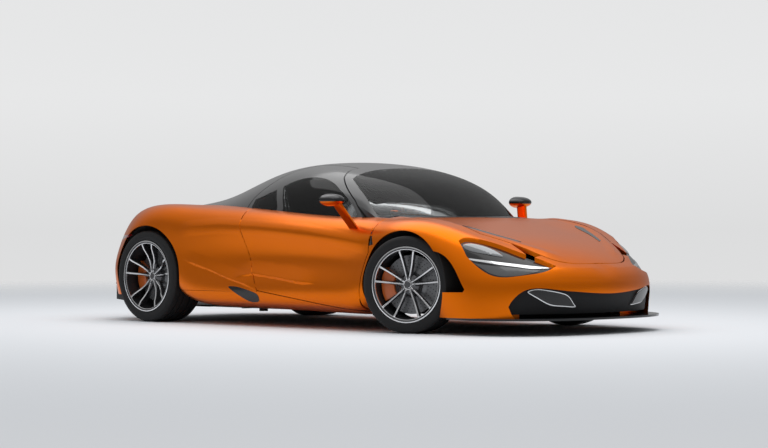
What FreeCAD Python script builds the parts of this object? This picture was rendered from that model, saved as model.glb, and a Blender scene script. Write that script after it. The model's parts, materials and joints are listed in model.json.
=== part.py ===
import FreeCAD, Part
import math
import os
import re
import Sketcher

from FreeCAD import Placement, Rotation, Vector

doc = FreeCAD.newDocument("Supercar")

# Driving sizes, in millimetres and degrees. X points to the nose, Y to the car's left and Z up,
# and the origin lies on the ground under the middle of the car.
driving_sizes = {
    "wheelbase": 2670,
    "front_overhang": 1070,
    "rear_overhang": 803,
    "body_width": 1930,
    "body_height": 1196,
    "front_track": 1674,
    "rear_track": 1629,
    "front_tyre_radius": 327,
    "front_tyre_width": 245,
    "front_rim_radius": 254,
    "rear_tyre_radius": 345.5,
    "rear_tyre_width": 305,
    "rear_rim_radius": 266.5,
    "panel_wall": 26,
    "roof_wall": 30,
    "glass_wall": 6,
    "moving_gap": 5,
    "frame_gap": 7,
    "running_gap": 0.3,
    "front_arch_radius": 362,
    "rear_arch_radius": 382,
    "arch_lip": 18,
    "front_arch_inset": 534,
    "rear_arch_inset": 640,
    "liner_wall": 6,
    "floor_height": 115,
    "floor_wall": 35,
    "cabin_half_width": 700,
    "door_inner_width": 735,
    "door_frame_inset": 32,
    "sill_step_width": 860,
    "door_hinge_height": 655,
    "door_hinge_ahead": 309,
    "door_hinge_width": 914,
    "door_lean": 20.6,
    "door_rake": 13.5,
    "front_bulkhead": 331.5,
    "rear_bulkhead": 828.5,
    "bulkhead_wall": 35,
    "scuttle_height": 755,
    "rear_deck_height": 835,
    "tunnel_half_width": 110,
    "tunnel_height": 330,
    "steer_rest": 17.6,
    "steer_offset": 30,
    "lid_gap": 10,
    "lid_pin_radius": 3.5,
    "lid_knuckle_radius": 6.5,
    "lid_arm_width": 20,
    "lid_arm_place": 150,
    "lid_hinge_set_back": 19,
    "lid_side_gap": 8,
    "rim_wall": 8,
    "bead_depth": 13,
    "well_depth": 8,
    "rotor_radius": 198,
    "rotor_inner": 112,
    "rotor_low": -8,
    "rotor_high": 24,
    "hat_radius": 80,
    "hat_face": 52,
    "hat_wall": 9,
    "hub_rise": 32,
    "cap_radius": 34,
    "spindle_radius": 30,
    "spindle_end": 50,
    "upright_low": 75,
    "upright_high": 16,
    "upright_width": 60,
    "bearing_radius": 46,
    "joint_rise": 140,
    "joint_radius": 14,
    "caliper_radius": 214,
    "caliper_inner": 122,
    "caliper_reach": 48,
    "caliper_angle": 62,
    "arm_radius": 13,
    "arm_spread": 118,
    "spoke_width": 15,
    "spoke_angle": 13,
    "spoke_pairs": 5,
    "engine_width": 520,
    "engine_low": 170,
    "engine_high": 600,
    "engine_length": 690,
    "gearbox_high": 520,
    "gearbox_length": 400,
    "silencer_width": 660,
    "silencer_low": 410,
    "silencer_high": 540,
    "silencer_end": 2040,
    "tail_pipe_radius": 52,
    "tail_pipe_wall": 5,
    "tail_pipe_place": 170,
    "tail_pipe_end": 2262,
    "steering_wheel_radius": 162,
    "steering_rim_radius": 14,
    "steering_boss_radius": 55,
    "steering_column_radius": 26,
    "steering_lean": 25,
    "mirror_reach": 1080,
    "jack_pad_radius": 32,
    "jack_pad_height": 20,
    "jack_hole_radius": 8,
    "jack_place": 585,
    "jack_front_place": 620,
    "jack_rear_place": -560,
}

sizes = doc.addObject("Spreadsheet::Sheet", "Sizes")
for row, (alias, value) in enumerate(driving_sizes.items(), start=1):
    sizes.set("A%d" % row, alias)
    sizes.set("B%d" % row, str(value))
    sizes.setAlias("B%d" % row, alias)
rear_bulkhead_row = len(driving_sizes) + 1
sizes.set("A%d" % rear_bulkhead_row, "rear_bulkhead_x")
sizes.set("B%d" % rear_bulkhead_row, "=(rear_overhang - front_overhang - wheelbase) / 2 + rear_bulkhead")
sizes.setAlias("B%d" % rear_bulkhead_row, "rear_bulkhead_x")
doc.recompute()


def size(alias):
    return float(sizes.get(alias))


half_width = size("body_width") / 2
height = size("body_height")
half_length = (size("front_overhang") + size("wheelbase") + size("rear_overhang")) / 2
front_axle = half_length - size("front_overhang")
rear_axle = size("rear_overhang") - half_length
front_hub = size("front_tyre_radius")
rear_hub = size("rear_tyre_radius")

# The body form. Each row is one section, from its lower edge over the side to the middle of the
# car, as (share of the half width, share of the reach). At both ends the sections fan out around
# the wheel hubs, and the first number is the fan's angle; between them they stand upright.
tail_row_shares = (
    (0.167, 180, ((0.622, 0.187), (0.881, 0.249), (0.927, 0.336), (0.945, 0.411), (0.938, 0.479),
                  (0.904, 0.554), (0.845, 0.641), (0.767, 0.735), (0.642, 0.832), (0.415, 0.919),
                  (0.000, 0.943))),
    (0.289, 178, ((0.622, 0.187), (0.896, 0.187), (0.959, 0.249), (0.982, 0.361), (0.976, 0.486),
                  (0.936, 0.573), (0.881, 0.654), (0.803, 0.747), (0.679, 0.857), (0.435, 0.959),
                  (0.000, 0.990))),
    (0.289, 163, ((0.622, 0.187), (0.902, 0.187), (0.964, 0.249), (0.990, 0.349), (0.982, 0.455),
                  (0.945, 0.548), (0.896, 0.635), (0.824, 0.735), (0.710, 0.847), (0.435, 0.953),
                  (0.000, 0.996))),
    (0.289, 145, ((0.622, 0.187), (0.902, 0.187), (0.969, 0.243), (0.997, 0.324), (0.995, 0.405),
                  (0.969, 0.479), (0.930, 0.542), (0.868, 0.648), (0.772, 0.797), (0.466, 0.984),
                  (0.000, 1.044))),
    (0.289, 120, ((0.622, 0.187), (0.902, 0.187), (0.969, 0.237), (1.000, 0.318), (1.007, 0.411),
                  (0.995, 0.498), (0.959, 0.579), (0.891, 0.685), (0.793, 0.747), (0.466, 0.760),
                  (0.000, 0.770))),
    (0.289, 90, ((0.622, 0.187), (0.902, 0.187), (0.969, 0.237), (1.000, 0.324), (1.007, 0.411),
                 (1.003, 0.511), (0.979, 0.598), (0.917, 0.672), (0.813, 0.697), (0.466, 0.654),
                 (0.000, 0.666))),
    (0.289, 62, ((0.622, 0.187), (0.902, 0.187), (0.964, 0.237), (0.990, 0.324), (0.995, 0.423),
                 (0.997, 0.523), (0.990, 0.629), (0.927, 0.735), (0.819, 0.772), (0.466, 0.735),
                 (0.000, 0.747))),
)
middle_row_shares = (
    (0.146, ((0.622, 0.105), (0.948, 0.105), (0.990, 0.167), (0.993, 0.276), (0.979, 0.393),
             (0.987, 0.518), (0.990, 0.627), (0.927, 0.711), (0.824, 0.740), (0.466, 0.736),
             (0.000, 0.736))),
    (0.288, ((0.622, 0.105), (0.945, 0.105), (0.990, 0.167), (0.990, 0.259), (0.951, 0.385),
             (0.962, 0.518), (0.979, 0.610), (0.920, 0.686), (0.819, 0.729), (0.466, 0.732),
             (0.000, 0.732))),
    (0.456, ((0.622, 0.100), (0.943, 0.100), (0.990, 0.171), (0.982, 0.276), (0.920, 0.401),
             (0.945, 0.518), (0.982, 0.598), (0.910, 0.669), (0.813, 0.711), (0.466, 0.723),
             (0.000, 0.723))),
    (0.625, ((0.622, 0.094), (0.938, 0.094), (0.990, 0.176), (0.982, 0.276), (0.918, 0.401),
             (0.941, 0.493), (0.982, 0.562), (0.912, 0.637), (0.808, 0.679), (0.466, 0.694),
             (0.000, 0.694))),
    (0.775, ((0.622, 0.088), (0.938, 0.088), (0.990, 0.171), (0.987, 0.276), (0.935, 0.385),
             (0.951, 0.468), (0.979, 0.539), (0.904, 0.620), (0.798, 0.662), (0.466, 0.681),
             (0.000, 0.683))),
    (0.872, ((0.622, 0.085), (0.938, 0.085), (0.990, 0.167), (0.993, 0.268), (0.969, 0.368),
             (0.969, 0.452), (0.972, 0.531), (0.899, 0.615), (0.788, 0.652), (0.466, 0.669),
             (0.000, 0.671))),
)
nose_row_shares = (
    (0.273, 115, ((0.622, 0.140), (0.881, 0.140), (0.959, 0.168), (0.984, 0.224), (0.987, 0.280),
                  (0.982, 0.332), (0.966, 0.381), (0.896, 0.437), (0.782, 0.462), (0.466, 0.465),
                  (0.000, 0.471))),
    (0.273, 88, ((0.622, 0.140), (0.881, 0.140), (0.953, 0.168), (0.982, 0.224), (0.990, 0.280),
                 (0.982, 0.325), (0.955, 0.366), (0.879, 0.409), (0.767, 0.427), (0.466, 0.393),
                 (0.000, 0.402))),
    (0.273, 62, ((0.622, 0.140), (0.881, 0.140), (0.953, 0.168), (0.979, 0.224), (0.984, 0.280),
                 (0.976, 0.327), (0.945, 0.379), (0.862, 0.428), (0.748, 0.445), (0.435, 0.402),
                 (0.000, 0.414))),
    (0.273, 40, ((0.622, 0.140), (0.881, 0.140), (0.948, 0.173), (0.974, 0.234), (0.979, 0.299),
                 (0.964, 0.364), (0.922, 0.422), (0.845, 0.479), (0.731, 0.514), (0.435, 0.495),
                 (0.000, 0.505))),
    (0.273, 22, ((0.622, 0.140), (0.881, 0.140), (0.943, 0.178), (0.972, 0.243), (0.976, 0.327),
                 (0.948, 0.411), (0.904, 0.481), (0.827, 0.561), (0.713, 0.640), (0.435, 0.682),
                 (0.000, 0.699))),
    (0.273, 6, ((0.622, 0.140), (0.881, 0.140), (0.938, 0.187), (0.966, 0.262), (0.972, 0.374),
                (0.938, 0.477), (0.886, 0.579), (0.800, 0.692), (0.674, 0.804), (0.420, 0.921),
                (0.000, 0.993))),
    (0.251, 0, ((0.622, 0.140), (0.881, 0.140), (0.933, 0.187), (0.962, 0.262), (0.969, 0.374),
                (0.945, 0.477), (0.899, 0.589), (0.813, 0.706), (0.679, 0.818), (0.420, 0.935),
                (0.000, 1.007))),
    (0.096, 0, ((0.622, 0.140), (0.881, 0.187), (0.922, 0.280), (0.941, 0.355), (0.938, 0.430),
                (0.922, 0.514), (0.883, 0.598), (0.803, 0.696), (0.663, 0.794), (0.409, 0.893),
                (0.000, 0.953))),
)
# The teardrop of roof and glass: the place of each section along the wheelbase at its edge and
# in the middle of the car, then its points from the edge to the middle.
canopy_row_shares = (
    (0.838, 0.919, ((0.772, 0.635), (0.746, 0.635), (0.663, 0.635), (0.518, 0.635),
                    (0.311, 0.635), (0.000, 0.635))),
    (0.829, 0.908, ((0.779, 0.644), (0.751, 0.656), (0.674, 0.669), (0.528, 0.677),
                    (0.316, 0.683), (0.000, 0.686))),
    (0.790, 0.853, ((0.796, 0.648), (0.765, 0.709), (0.692, 0.763), (0.546, 0.794),
                    (0.324, 0.811), (0.000, 0.819))),
    (0.711, 0.767, ((0.806, 0.652), (0.769, 0.753), (0.696, 0.834), (0.549, 0.886),
                    (0.326, 0.911), (0.000, 0.922))),
    (0.599, 0.632, ((0.813, 0.669), (0.772, 0.778), (0.692, 0.885), (0.539, 0.949),
                    (0.321, 0.978), (0.000, 0.990))),
    (0.475, 0.490, ((0.813, 0.686), (0.769, 0.790), (0.679, 0.899), (0.523, 0.966),
                    (0.311, 0.995), (0.000, 1.006))),
    (0.363, 0.363, ((0.793, 0.707), (0.744, 0.786), (0.634, 0.874), (0.472, 0.938),
                    (0.280, 0.968), (0.000, 0.978))),
    (0.250, 0.250, ((0.738, 0.727), (0.679, 0.771), (0.560, 0.828), (0.399, 0.876),
                    (0.233, 0.905), (0.000, 0.918))),
    (0.138, 0.138, ((0.658, 0.734), (0.596, 0.753), (0.466, 0.773), (0.316, 0.798),
                    (0.181, 0.824), (0.000, 0.838))),
    (0.026, 0.026, ((0.575, 0.726), (0.513, 0.736), (0.399, 0.748), (0.275, 0.763),
                    (0.155, 0.778), (0.000, 0.786))),
    (-0.105, -0.105, ((0.497, 0.702), (0.456, 0.709), (0.373, 0.719), (0.269, 0.729),
                      (0.155, 0.737), (0.000, 0.742))),
    (-0.199, -0.199, ((0.435, 0.661), (0.404, 0.665), (0.342, 0.673), (0.259, 0.681),
                      (0.155, 0.687), (0.000, 0.690))),
)


def mirrored_row(half):
    """Both halves of a section, from the right edge over the middle to the left edge."""
    return half + [Vector(p.x, -p.y, p.z) for p in reversed(half[:-1])]


def fan_rows(rows, hub_x, reach, upright):
    """Sections that fan around a hub: upright is the height that one unit of reach stands for."""
    net = []
    for pivot_share, angle, points in rows:
        along = math.cos(math.radians(angle))
        up = math.sin(math.radians(angle))
        net.append(mirrored_row([
            Vector(hub_x + r * along * reach, -y * half_width, pivot_share * height + r * up * upright)
            for y, r in points]))
    return net


def body_net():
    net = fan_rows(tail_row_shares, rear_axle, size("rear_overhang"), height * tail_rise_share)
    for along, points in middle_row_shares:
        x = rear_axle + along * size("wheelbase")
        net.append(mirrored_row([Vector(x, -y * half_width, z * height) for y, z in points]))
    net += fan_rows(nose_row_shares, front_axle, size("front_overhang"), height * nose_rise_share)
    return net


def canopy_net():
    net = []
    for side_share, middle_share, points in canopy_row_shares:
        edge = points[0][0]
        row = []
        for y, z in points:
            bow = (middle_share - side_share) * (1 - (y / edge) ** 2)
            row.append(Vector(rear_axle + (side_share + bow) * size("wheelbase"),
                              -y * half_width, z * height))
        net.append(mirrored_row(row))
    return list(reversed(net))


# How tall one overhang stands, as a share of the height: it makes the fans round.
tail_rise_share = 0.6714
nose_rise_share = 0.8946
spline_degree = 3


def offset_net(net, wall):
    """The same net moved inwards by the wall, square to the surface at every point."""
    moved = []
    for i, row in enumerate(net):
        before = net[max(i - 1, 0)]
        after = net[min(i + 1, len(net) - 1)]
        new_row = []
        for j, point in enumerate(row):
            along = after[j] - before[j]
            across = row[min(j + 1, len(row) - 1)] - row[max(j - 1, 0)]
            normal = along.cross(across)
            normal.normalize()
            new_row.append(point - normal * wall)
        moved.append(new_row)
    return moved


def spline_surface(net):
    def knots(count):
        inner = count - spline_degree
        values = [k / inner for k in range(inner + 1)]
        return values, [spline_degree + 1] + [1] * (inner - 1) + [spline_degree + 1]

    u_knots, u_mults = knots(len(net))
    v_knots, v_mults = knots(len(net[0]))
    surface = Part.BSplineSurface()
    surface.buildFromPolesMultsKnots(net, u_mults, v_mults, u_knots, v_knots, False, False,
                                     spline_degree, spline_degree)
    return surface


def closed_form(net):
    """A solid from a net: its skin, a ruled floor and a flat cap at either end."""
    surface = spline_surface(net)
    right = surface.vIso(0).toShape()
    left = surface.vIso(1).toShape()
    faces = [surface.toShape(), Part.makeRuledSurface(right, left)]
    for u in (0, 1):
        curve = surface.uIso(u)
        ends = Part.makeLine(curve.value(curve.LastParameter), curve.value(curve.FirstParameter))
        faces.append(Part.Face(Part.Wire([curve.toShape(), ends])))
    shell = Part.makeShell(faces)
    shell.sewShape()
    solid = Part.makeSolid(shell)
    if solid.Volume < 0:
        solid.reverse()
    return solid


def body_form(wall):
    net = body_net()
    if wall:
        net = offset_net(net, wall)
        tail, nose = net[0], net[-1]
        tail_z = tail_row_shares[0][0] * height + wall
        nose_z = nose_row_shares[-1][0] * height + wall
        net[0] = [Vector(p.x, p.y, tail_z) for p in tail]
        net[-1] = [Vector(p.x, p.y, nose_z) for p in nose]
    return closed_form(net)


def mid(share):
    """A place along the wheelbase, as a share of it from the rear axle."""
    return rear_axle + share * size("wheelbase")


def ahead(share):
    """A place ahead of the front axle, as a share of the front overhang."""
    return front_axle + share * size("front_overhang")


def astern(share):
    """A place behind the rear axle, as a share of the rear overhang."""
    return rear_axle - share * size("rear_overhang")


def side_points(table, along):
    return [side_points(item, along) if isinstance(item, list) else (along(item[0]), item[1] * height)
            for item in table]


def plan_points(table, along):
    return [plan_points(item, along) if isinstance(item, list) else (along(item[0]), item[1] * half_width)
            for item in table]


def front_points(table):
    return [front_points(item) if isinstance(item, list) else (item[0] * half_width, item[1] * height)
            for item in table]


curve_points = 14


def outline_wire(points, place):
    """A closed outline. A list inside the list is a smooth curve through its points."""
    edges = []
    last = None
    first = None
    for item in points:
        nodes = item if isinstance(item, list) else [item]
        nodes = [place(*p) for p in nodes]
        if first is None:
            first = nodes[0]
        if last is not None and len(nodes) > 1:
            nodes.insert(0, last)
        if len(nodes) > 1:
            curve = Part.BSplineCurve()
            curve.interpolate(nodes)
            edges.append(curve.toShape())
        elif last is not None:
            edges.append(Part.makeLine(last, nodes[0]))
        last = nodes[-1]
    edges.append(Part.makeLine(last, first))
    return Part.Wire(edges)


def grown(wire, amount):
    """The outline moved outward, with its curved edges drawn again as plain splines."""
    if not amount:
        return wire
    edges = []
    for edge in wire.makeOffset2D(amount, 0, False, False).Edges:
        if edge.Curve.TypeId == "Part::GeomOffsetCurve":
            curve = Part.BSplineCurve()
            curve.interpolate(edge.discretize(curve_points))
            edge = curve.toShape()
        edges.append(edge)
    return Part.Wire(Part.sortEdges(edges)[0])


def side_prism(points, start, end, grow=0):
    """A side view outline pushed across the car from one width to another."""
    wire = grown(outline_wire(points, lambda x, z: Vector(x, 0, z)), grow)
    face = Part.Face(wire)
    face.translate(Vector(0, start, 0))
    return face.extrude(Vector(0, end - start, 0))


def plan_prism(points, start, end, grow=0):
    """A plan outline pushed upwards from one height to another."""
    wire = grown(outline_wire(points, lambda x, y: Vector(x, y, 0)), grow)
    face = Part.Face(wire)
    face.translate(Vector(0, 0, start))
    return face.extrude(Vector(0, 0, end - start))


def front_prism(points, start, end, grow=0):
    """A front view outline pushed forwards from one place to another."""
    wire = grown(outline_wire(points, lambda y, z: Vector(0, y, z)), grow)
    face = Part.Face(wire)
    face.translate(Vector(start, 0, 0))
    return face.extrude(Vector(end - start, 0, 0))


def block(x, y, z):
    """A box from three pairs of limits."""
    return Part.makeBox(x[1] - x[0], y[1] - y[0], z[1] - z[0], Vector(x[0], y[0], z[0]))


def across(shape):
    """The same shape on the other side of the car."""
    return shape.mirror(Vector(0, 0, 0), Vector(0, 1, 0))


def both(shape):
    return Part.makeCompound([shape, across(shape)])


def node(name, shape):
    part = doc.addObject("Part::Feature", name)
    part.Label = name
    part.Shape = shape
    nodes.append(part)
    return part


nodes = []
sliver_volume = size("panel_wall") ** 3
reach = 2 * half_width
far = 2 * half_length
gap = size("moving_gap")
tall = 2 * height

outer = body_form(0)
inner = body_form(size("panel_wall"))
under_skin = body_form(size("panel_wall") + 1.6 * gap)
shallow = body_form(gap)
skin = outer.cut(inner)


def canopy_form(wall):
    """The canopy moved inwards by a wall and open below, or, with a negative wall, outwards."""
    net = canopy_net()
    if wall:
        net = offset_net(net, wall)
        drop = canopy_drop if wall > 0 else -wall
        for row in net:
            row[0] = Vector(row[0].x, row[0].y, row[0].z - drop)
            row[-1] = Vector(row[-1].x, row[-1].y, row[-1].z - drop)
        net[0] = [Vector(net[0][0].x - abs(wall), p.y, p.z) for p in net[0]]
        net[-1] = [Vector(p.x, p.y, size("scuttle_height") - drop) for p in net[-1]]
    return closed_form(net)


canopy_drop = 2 * size("roof_wall")
canopy = canopy_form(0)
canopy_wide = canopy_form(-2 * gap)
canopy_skin = canopy.cut(canopy_form(size("roof_wall")))
glass_skin = canopy.cut(canopy_form(size("glass_wall")))

# Openings and shut lines, as shares: along the wheelbase, or an overhang, and of the height or
# of the half width.
door_rear_shares = [(0.355, 0.740), (0.378, 0.700), (0.385, 0.640), (0.397, 0.546), (0.417, 0.430),
                    (0.464, 0.219)]
door_bottom_shares = [(0.482, 0.214), (0.631, 0.172), (0.774, 0.132), (0.845, 0.117)]
door_front_shares = [(0.851, 0.201), (0.855, 0.276), (0.863, 0.334), (0.876, 0.418), (0.881, 0.492),
                     (0.883, 0.566), (0.887, 0.610), (0.874, 0.660)]
door_top_share = 0.780
sill_top_shares = [(0.100, 0.000), (0.100, 0.205), (0.464, 0.209), (0.464, 0.235), (0.482, 0.225),
                   (0.631, 0.185), (0.774, 0.145), (0.848, 0.130), (0.851, 0.000)]
frame_front_shares = [(0.800, 0.560), (0.793, 0.655), (0.750, 0.747), (0.698, 0.828), (0.662, 0.886),
                      (0.640, 0.935), (0.632, 1.050), (0.200, 1.050), (0.200, 0.560)]
frame_plan_shares = [(0.950, 0.415), (0.505, 0.415), (0.353, 0.731), (0.340, 0.800), (0.340, 1.100),
                     (0.950, 1.100)]
pane_shares = [(0.776, 0.660), [(0.738, 0.741), (0.687, 0.812), (0.641, 0.862), (0.579, 0.893),
               (0.538, 0.893), (0.494, 0.872), (0.462, 0.842)], (0.494, 0.719), (0.500, 0.640),
               (0.776, 0.600)]
quarter_shares = [(0.440, 0.823), (0.362, 0.764), (0.362, 0.640), (0.476, 0.640), (0.470, 0.722)]
screen_shares = [(0.950, 0.740), (0.836, 0.740), (0.794, 0.715), (0.744, 0.673), (0.693, 0.610),
                 (0.689, 0.598), [(0.687, 0.468), (0.689, 0.265), (0.693, 0.000), (0.689, -0.265),
                 (0.687, -0.468)], (0.689, -0.598), (0.693, -0.610), (0.744, -0.673),
                 (0.794, -0.715), (0.836, -0.740), (0.950, -0.740)]
rear_screen_shares = [(0.330, 0.350), (0.170, 0.270), (0.170, -0.270), (0.330, -0.350)]
lamp_shares = [(0.386, 0.859), [(0.392, 0.823), (0.461, 0.735), (0.538, 0.666), (0.666, 0.578),
               (0.780, 0.467), (0.835, 0.418)], [(0.833, 0.506), (0.791, 0.637), (0.710, 0.765),
               (0.628, 0.834), (0.557, 0.864), (0.470, 0.880)]]
vent_shares = [(0.245, 0.462), [(0.324, 0.446), (0.404, 0.385), (0.459, 0.310), (0.495, 0.253)],
               (0.483, 0.238), (0.300, 0.236)]
mouth_shares = [(0.700, 0.060), (0.752, 0.120), (0.770, 0.160), [(0.743, 0.206), (0.682, 0.250),
                (0.610, 0.261), (0.458, 0.250), (0.298, 0.238), (0.000, 0.226), (-0.298, 0.238),
                (-0.458, 0.250), (-0.610, 0.261), (-0.682, 0.250), (-0.743, 0.206), (-0.770, 0.160)],
                (-0.752, 0.120), (-0.700, 0.060)]
wing_cut_shares = [(0.129, 1.200), (0.129, 1.021), (0.142, 0.960), (0.197, 0.919), (0.276, 0.842),
                   (0.382, 0.736), (0.400, 0.645)]
bonnet_shares = [(-0.186, -0.640), (-0.186, 0.640), (0.092, 0.674), (0.279, 0.668), (0.400, 0.652),
                 (0.579, 0.536), (0.701, 0.462), (0.766, 0.412), [(0.835, 0.290), (0.864, 0.130),
                 (0.868, 0.000), (0.864, -0.130), (0.835, -0.290), (0.766, -0.412)],
                 (0.701, -0.462), (0.579, -0.536), (0.400, -0.652), (0.279, -0.668),
                 (0.092, -0.674)]
bonnet_floor_share = 0.360
bonnet_hinge_share = 0.6468
wing_hinge_share = 0.7023
tail_slot_shares = [(0.217, 0.561), (0.310, 0.548), (0.550, 0.545), (1.100, 0.560), (1.100, 0.535),
                    (0.550, 0.518), (0.475, 0.520), (0.310, 0.532)]
tail_cut_shares = [(0.100, 0.000), (0.100, 0.540), (0.310, 0.532), (0.475, 0.520), (0.550, 0.518),
                   (1.100, 0.535), (1.200, 0.535), (1.200, 0.000)]
wing_front_share = 0.575
wing_half_share = 0.600
wing_floor_share = 0.600
tray_floor_share = 0.500

door_points = (side_points([door_rear_shares], mid) + side_points([door_bottom_shares], mid)
               + side_points([door_front_shares], mid)
               + [(mid(door_front_shares[-1][0]), door_top_share * height),
                  (mid(door_rear_shares[0][0]), door_top_share * height)])


def arch_tool(hub_x, hub_z, radius, inset):
    """What a wheel arch takes away, on both sides of the car."""
    return both(Part.makeCylinder(radius, reach, Vector(hub_x, inset, hub_z), Vector(0, 1, 0)))


front_arch = arch_tool(front_axle, front_hub, size("front_arch_radius"), size("front_arch_inset"))
rear_arch = arch_tool(rear_axle, rear_hub, size("rear_arch_radius"), size("rear_arch_inset"))
arches = Part.makeCompound(front_arch.Solids + rear_arch.Solids)
front_lip = arch_tool(front_axle, front_hub, size("front_arch_radius") + size("arch_lip"),
                      size("front_arch_inset"))
front_lip_gap = arch_tool(front_axle, front_hub,
                          size("front_arch_radius") + size("arch_lip") + gap, size("front_arch_inset"))

# Doors: a skin with an inset block behind it, a frame of the canopy and the panes in it.
side_start = -reach
door_core = side_prism(door_points, side_start, -size("door_inner_width"), -size("door_frame_inset"))
door_full = side_prism(door_points, side_start, -size("door_inner_width"))
door_border = door_full.cut(door_core).common(inner)
shut_gap = gap + size("running_gap")
door_hole = both(side_prism(door_points, side_start, -half_width / 2, shut_gap)).cut(front_lip)
door_hole_low = both(side_prism(door_points, side_start, -half_width / 2, 2 * gap))

frame_points = side_points(frame_front_shares, mid)
frame_plan = [(x, -y) for x, y in plan_points(frame_plan_shares, mid)]
frame_slab = side_prism(frame_points, side_start, 0).common(plan_prism(frame_plan, 0, tall))
frame_hole = both(side_prism(frame_points, side_start, 0, size("frame_gap")).common(
    plan_prism(frame_plan, 0, tall, size("frame_gap"))))
door_shape = outer.common(door_full).cut(door_border).cut(front_lip_gap)
door_shape = door_shape.cut(canopy).cut(canopy_wide.cut(frame_slab))
pane_slab = side_prism(side_points(pane_shares, mid), side_start, -half_width / 3)
quarter_slab = side_prism(side_points(quarter_shares, mid), side_start, -half_width / 3)
frame_shape = canopy_skin.common(frame_slab).cut(pane_slab).cut(quarter_slab)
pane_shape = glass_skin.common(frame_slab).common(pane_slab.fuse(quarter_slab))

screen_slab = plan_prism(plan_points(screen_shares, mid), 0, tall)
rear_screen_slab = plan_prism(plan_points(rear_screen_shares, mid), 0, tall)
canopy_rest = canopy_skin.cut(frame_hole)
engine_cover_slab = block((-far, mid(0.150)), (-reach, reach), (0, tall))
door_room = side_prism(door_points, side_start, -size("door_inner_width") + gap, shut_gap)
roof_shape = canopy_rest.cut(screen_slab).cut(rear_screen_slab).cut(engine_cover_slab)
roof_shape = roof_shape.cut(both(door_room))
cover_shape = canopy_rest.common(engine_cover_slab)
screen_shape = glass_skin.common(screen_slab)
rear_screen_shape = glass_skin.common(rear_screen_slab)


# Monocoque: floor, sills, tunnel, both bulkheads, the scuttle under the screen and hinge brackets.
floor_low = size("floor_height")
floor_high = floor_low + size("floor_wall")
cabin_front = front_axle - size("front_bulkhead")
cabin_rear = rear_axle + size("rear_bulkhead")
bulkhead = size("bulkhead_wall")
cabin_width = size("cabin_half_width")
sill_width = 0.640 * half_width
scuttle_width = bonnet_shares[1][1] * half_width
scuttle_end = ahead(bonnet_shares[0][0]) - size("lid_gap")
tunnel = size("tunnel_half_width")
bracket_reach = 0.020 * size("wheelbase")
bracket_height = 0.040 * height


def hinge_axis(z):
    """The right door's hinge line at a height: it leans in and back as it rises."""
    rise = z - size("door_hinge_height")
    lean = math.tan(math.radians(size("door_lean")))
    rake = math.tan(math.radians(size("door_rake")))
    return Vector(front_axle - size("door_hinge_ahead") - rise * rake,
                  -size("door_hinge_width") + rise * lean, z)


hinge_low = hinge_axis(size("door_hinge_height") - 0.055 * height)
hinge_high = hinge_axis(size("door_hinge_height") + 0.022 * height)
hinge_middle = hinge_axis(size("door_hinge_height") - 0.005 * height)
hinge_line = hinge_high - hinge_low
pin_radius = 0.20 * size("panel_wall")
sleeve_radius = 0.42 * size("panel_wall")
door_pin = Part.makeCylinder(pin_radius, hinge_line.Length, hinge_low, hinge_line)
door_sleeve = Part.makeCylinder(sleeve_radius, (hinge_high - hinge_middle).Length, hinge_middle,
                                hinge_line)
door_bore = Part.makeCylinder(pin_radius + size("running_gap"), 2 * hinge_line.Length,
                              hinge_low, hinge_line)
door_shape = door_shape.fuse(door_sleeve.common(shallow)).cut(door_bore)
hinge_bracket = block((cabin_front - bulkhead, hinge_low.x + bracket_reach / 2),
                      (-reach, -cabin_width + bulkhead),
                      (hinge_low.z - bracket_height / 2, hinge_low.z + bracket_height / 2))
hinge_bracket = hinge_bracket.common(shallow).cut(front_lip).cut(both(door_room))
sleeve_room = Part.makeCylinder(sleeve_radius + 2 * gap, hinge_line.Length + gap, hinge_low, hinge_line)

sill_slab = side_prism(side_points(sill_top_shares, mid), side_start, reach)
sills = outer.common(sill_slab).cut(block((-far, far), (-sill_width, sill_width), (0, tall)))
sills = sills.cut(door_hole).cut(door_hole_low.common(
    block((-far, far), (-size("sill_step_width"), size("sill_step_width")), (0, tall)))).cut(arches)
tub_core = [
    block((rear_axle + size("rear_arch_radius"), cabin_front), (-sill_width, sill_width),
          (floor_low, floor_high)),
    block((cabin_rear - bulkhead, cabin_rear), (-cabin_width, cabin_width),
          (floor_low, size("rear_deck_height"))),
    block((cabin_front - bulkhead, cabin_front), (-cabin_width, cabin_width),
          (floor_low, size("scuttle_height"))),
    block((cabin_rear, mid(0.760)), (-tunnel, tunnel), (floor_high, size("tunnel_height"))),
]
scuttle = skin.common(block((mid(0.820), scuttle_end), (-scuttle_width, scuttle_width),
                            (size("scuttle_height") - gap, tall))).cut(canopy)
scuttle_web = block((cabin_front - bulkhead, cabin_front), (-scuttle_width, scuttle_width),
                    (size("scuttle_height") - bulkhead, tall)).common(outer).cut(canopy)
monocoque = tub_core[0].multiFuse(tub_core[1:] + [both(door_pin), both(hinge_bracket), scuttle, scuttle_web])
monocoque = monocoque.cut(arches)
sills = sills.cut(monocoque)
jack_pads = []
for x in (size("jack_front_place"), size("jack_rear_place")):
    for y in (size("jack_place"), -size("jack_place")):
        foot = Vector(x, y, floor_low - size("jack_pad_height"))
        pad = Part.makeCylinder(size("jack_pad_radius"), size("jack_pad_height"), foot)
        jack_pads.append(pad.cut(Part.makeCylinder(size("jack_hole_radius"), size("jack_pad_height"), foot)))


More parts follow.
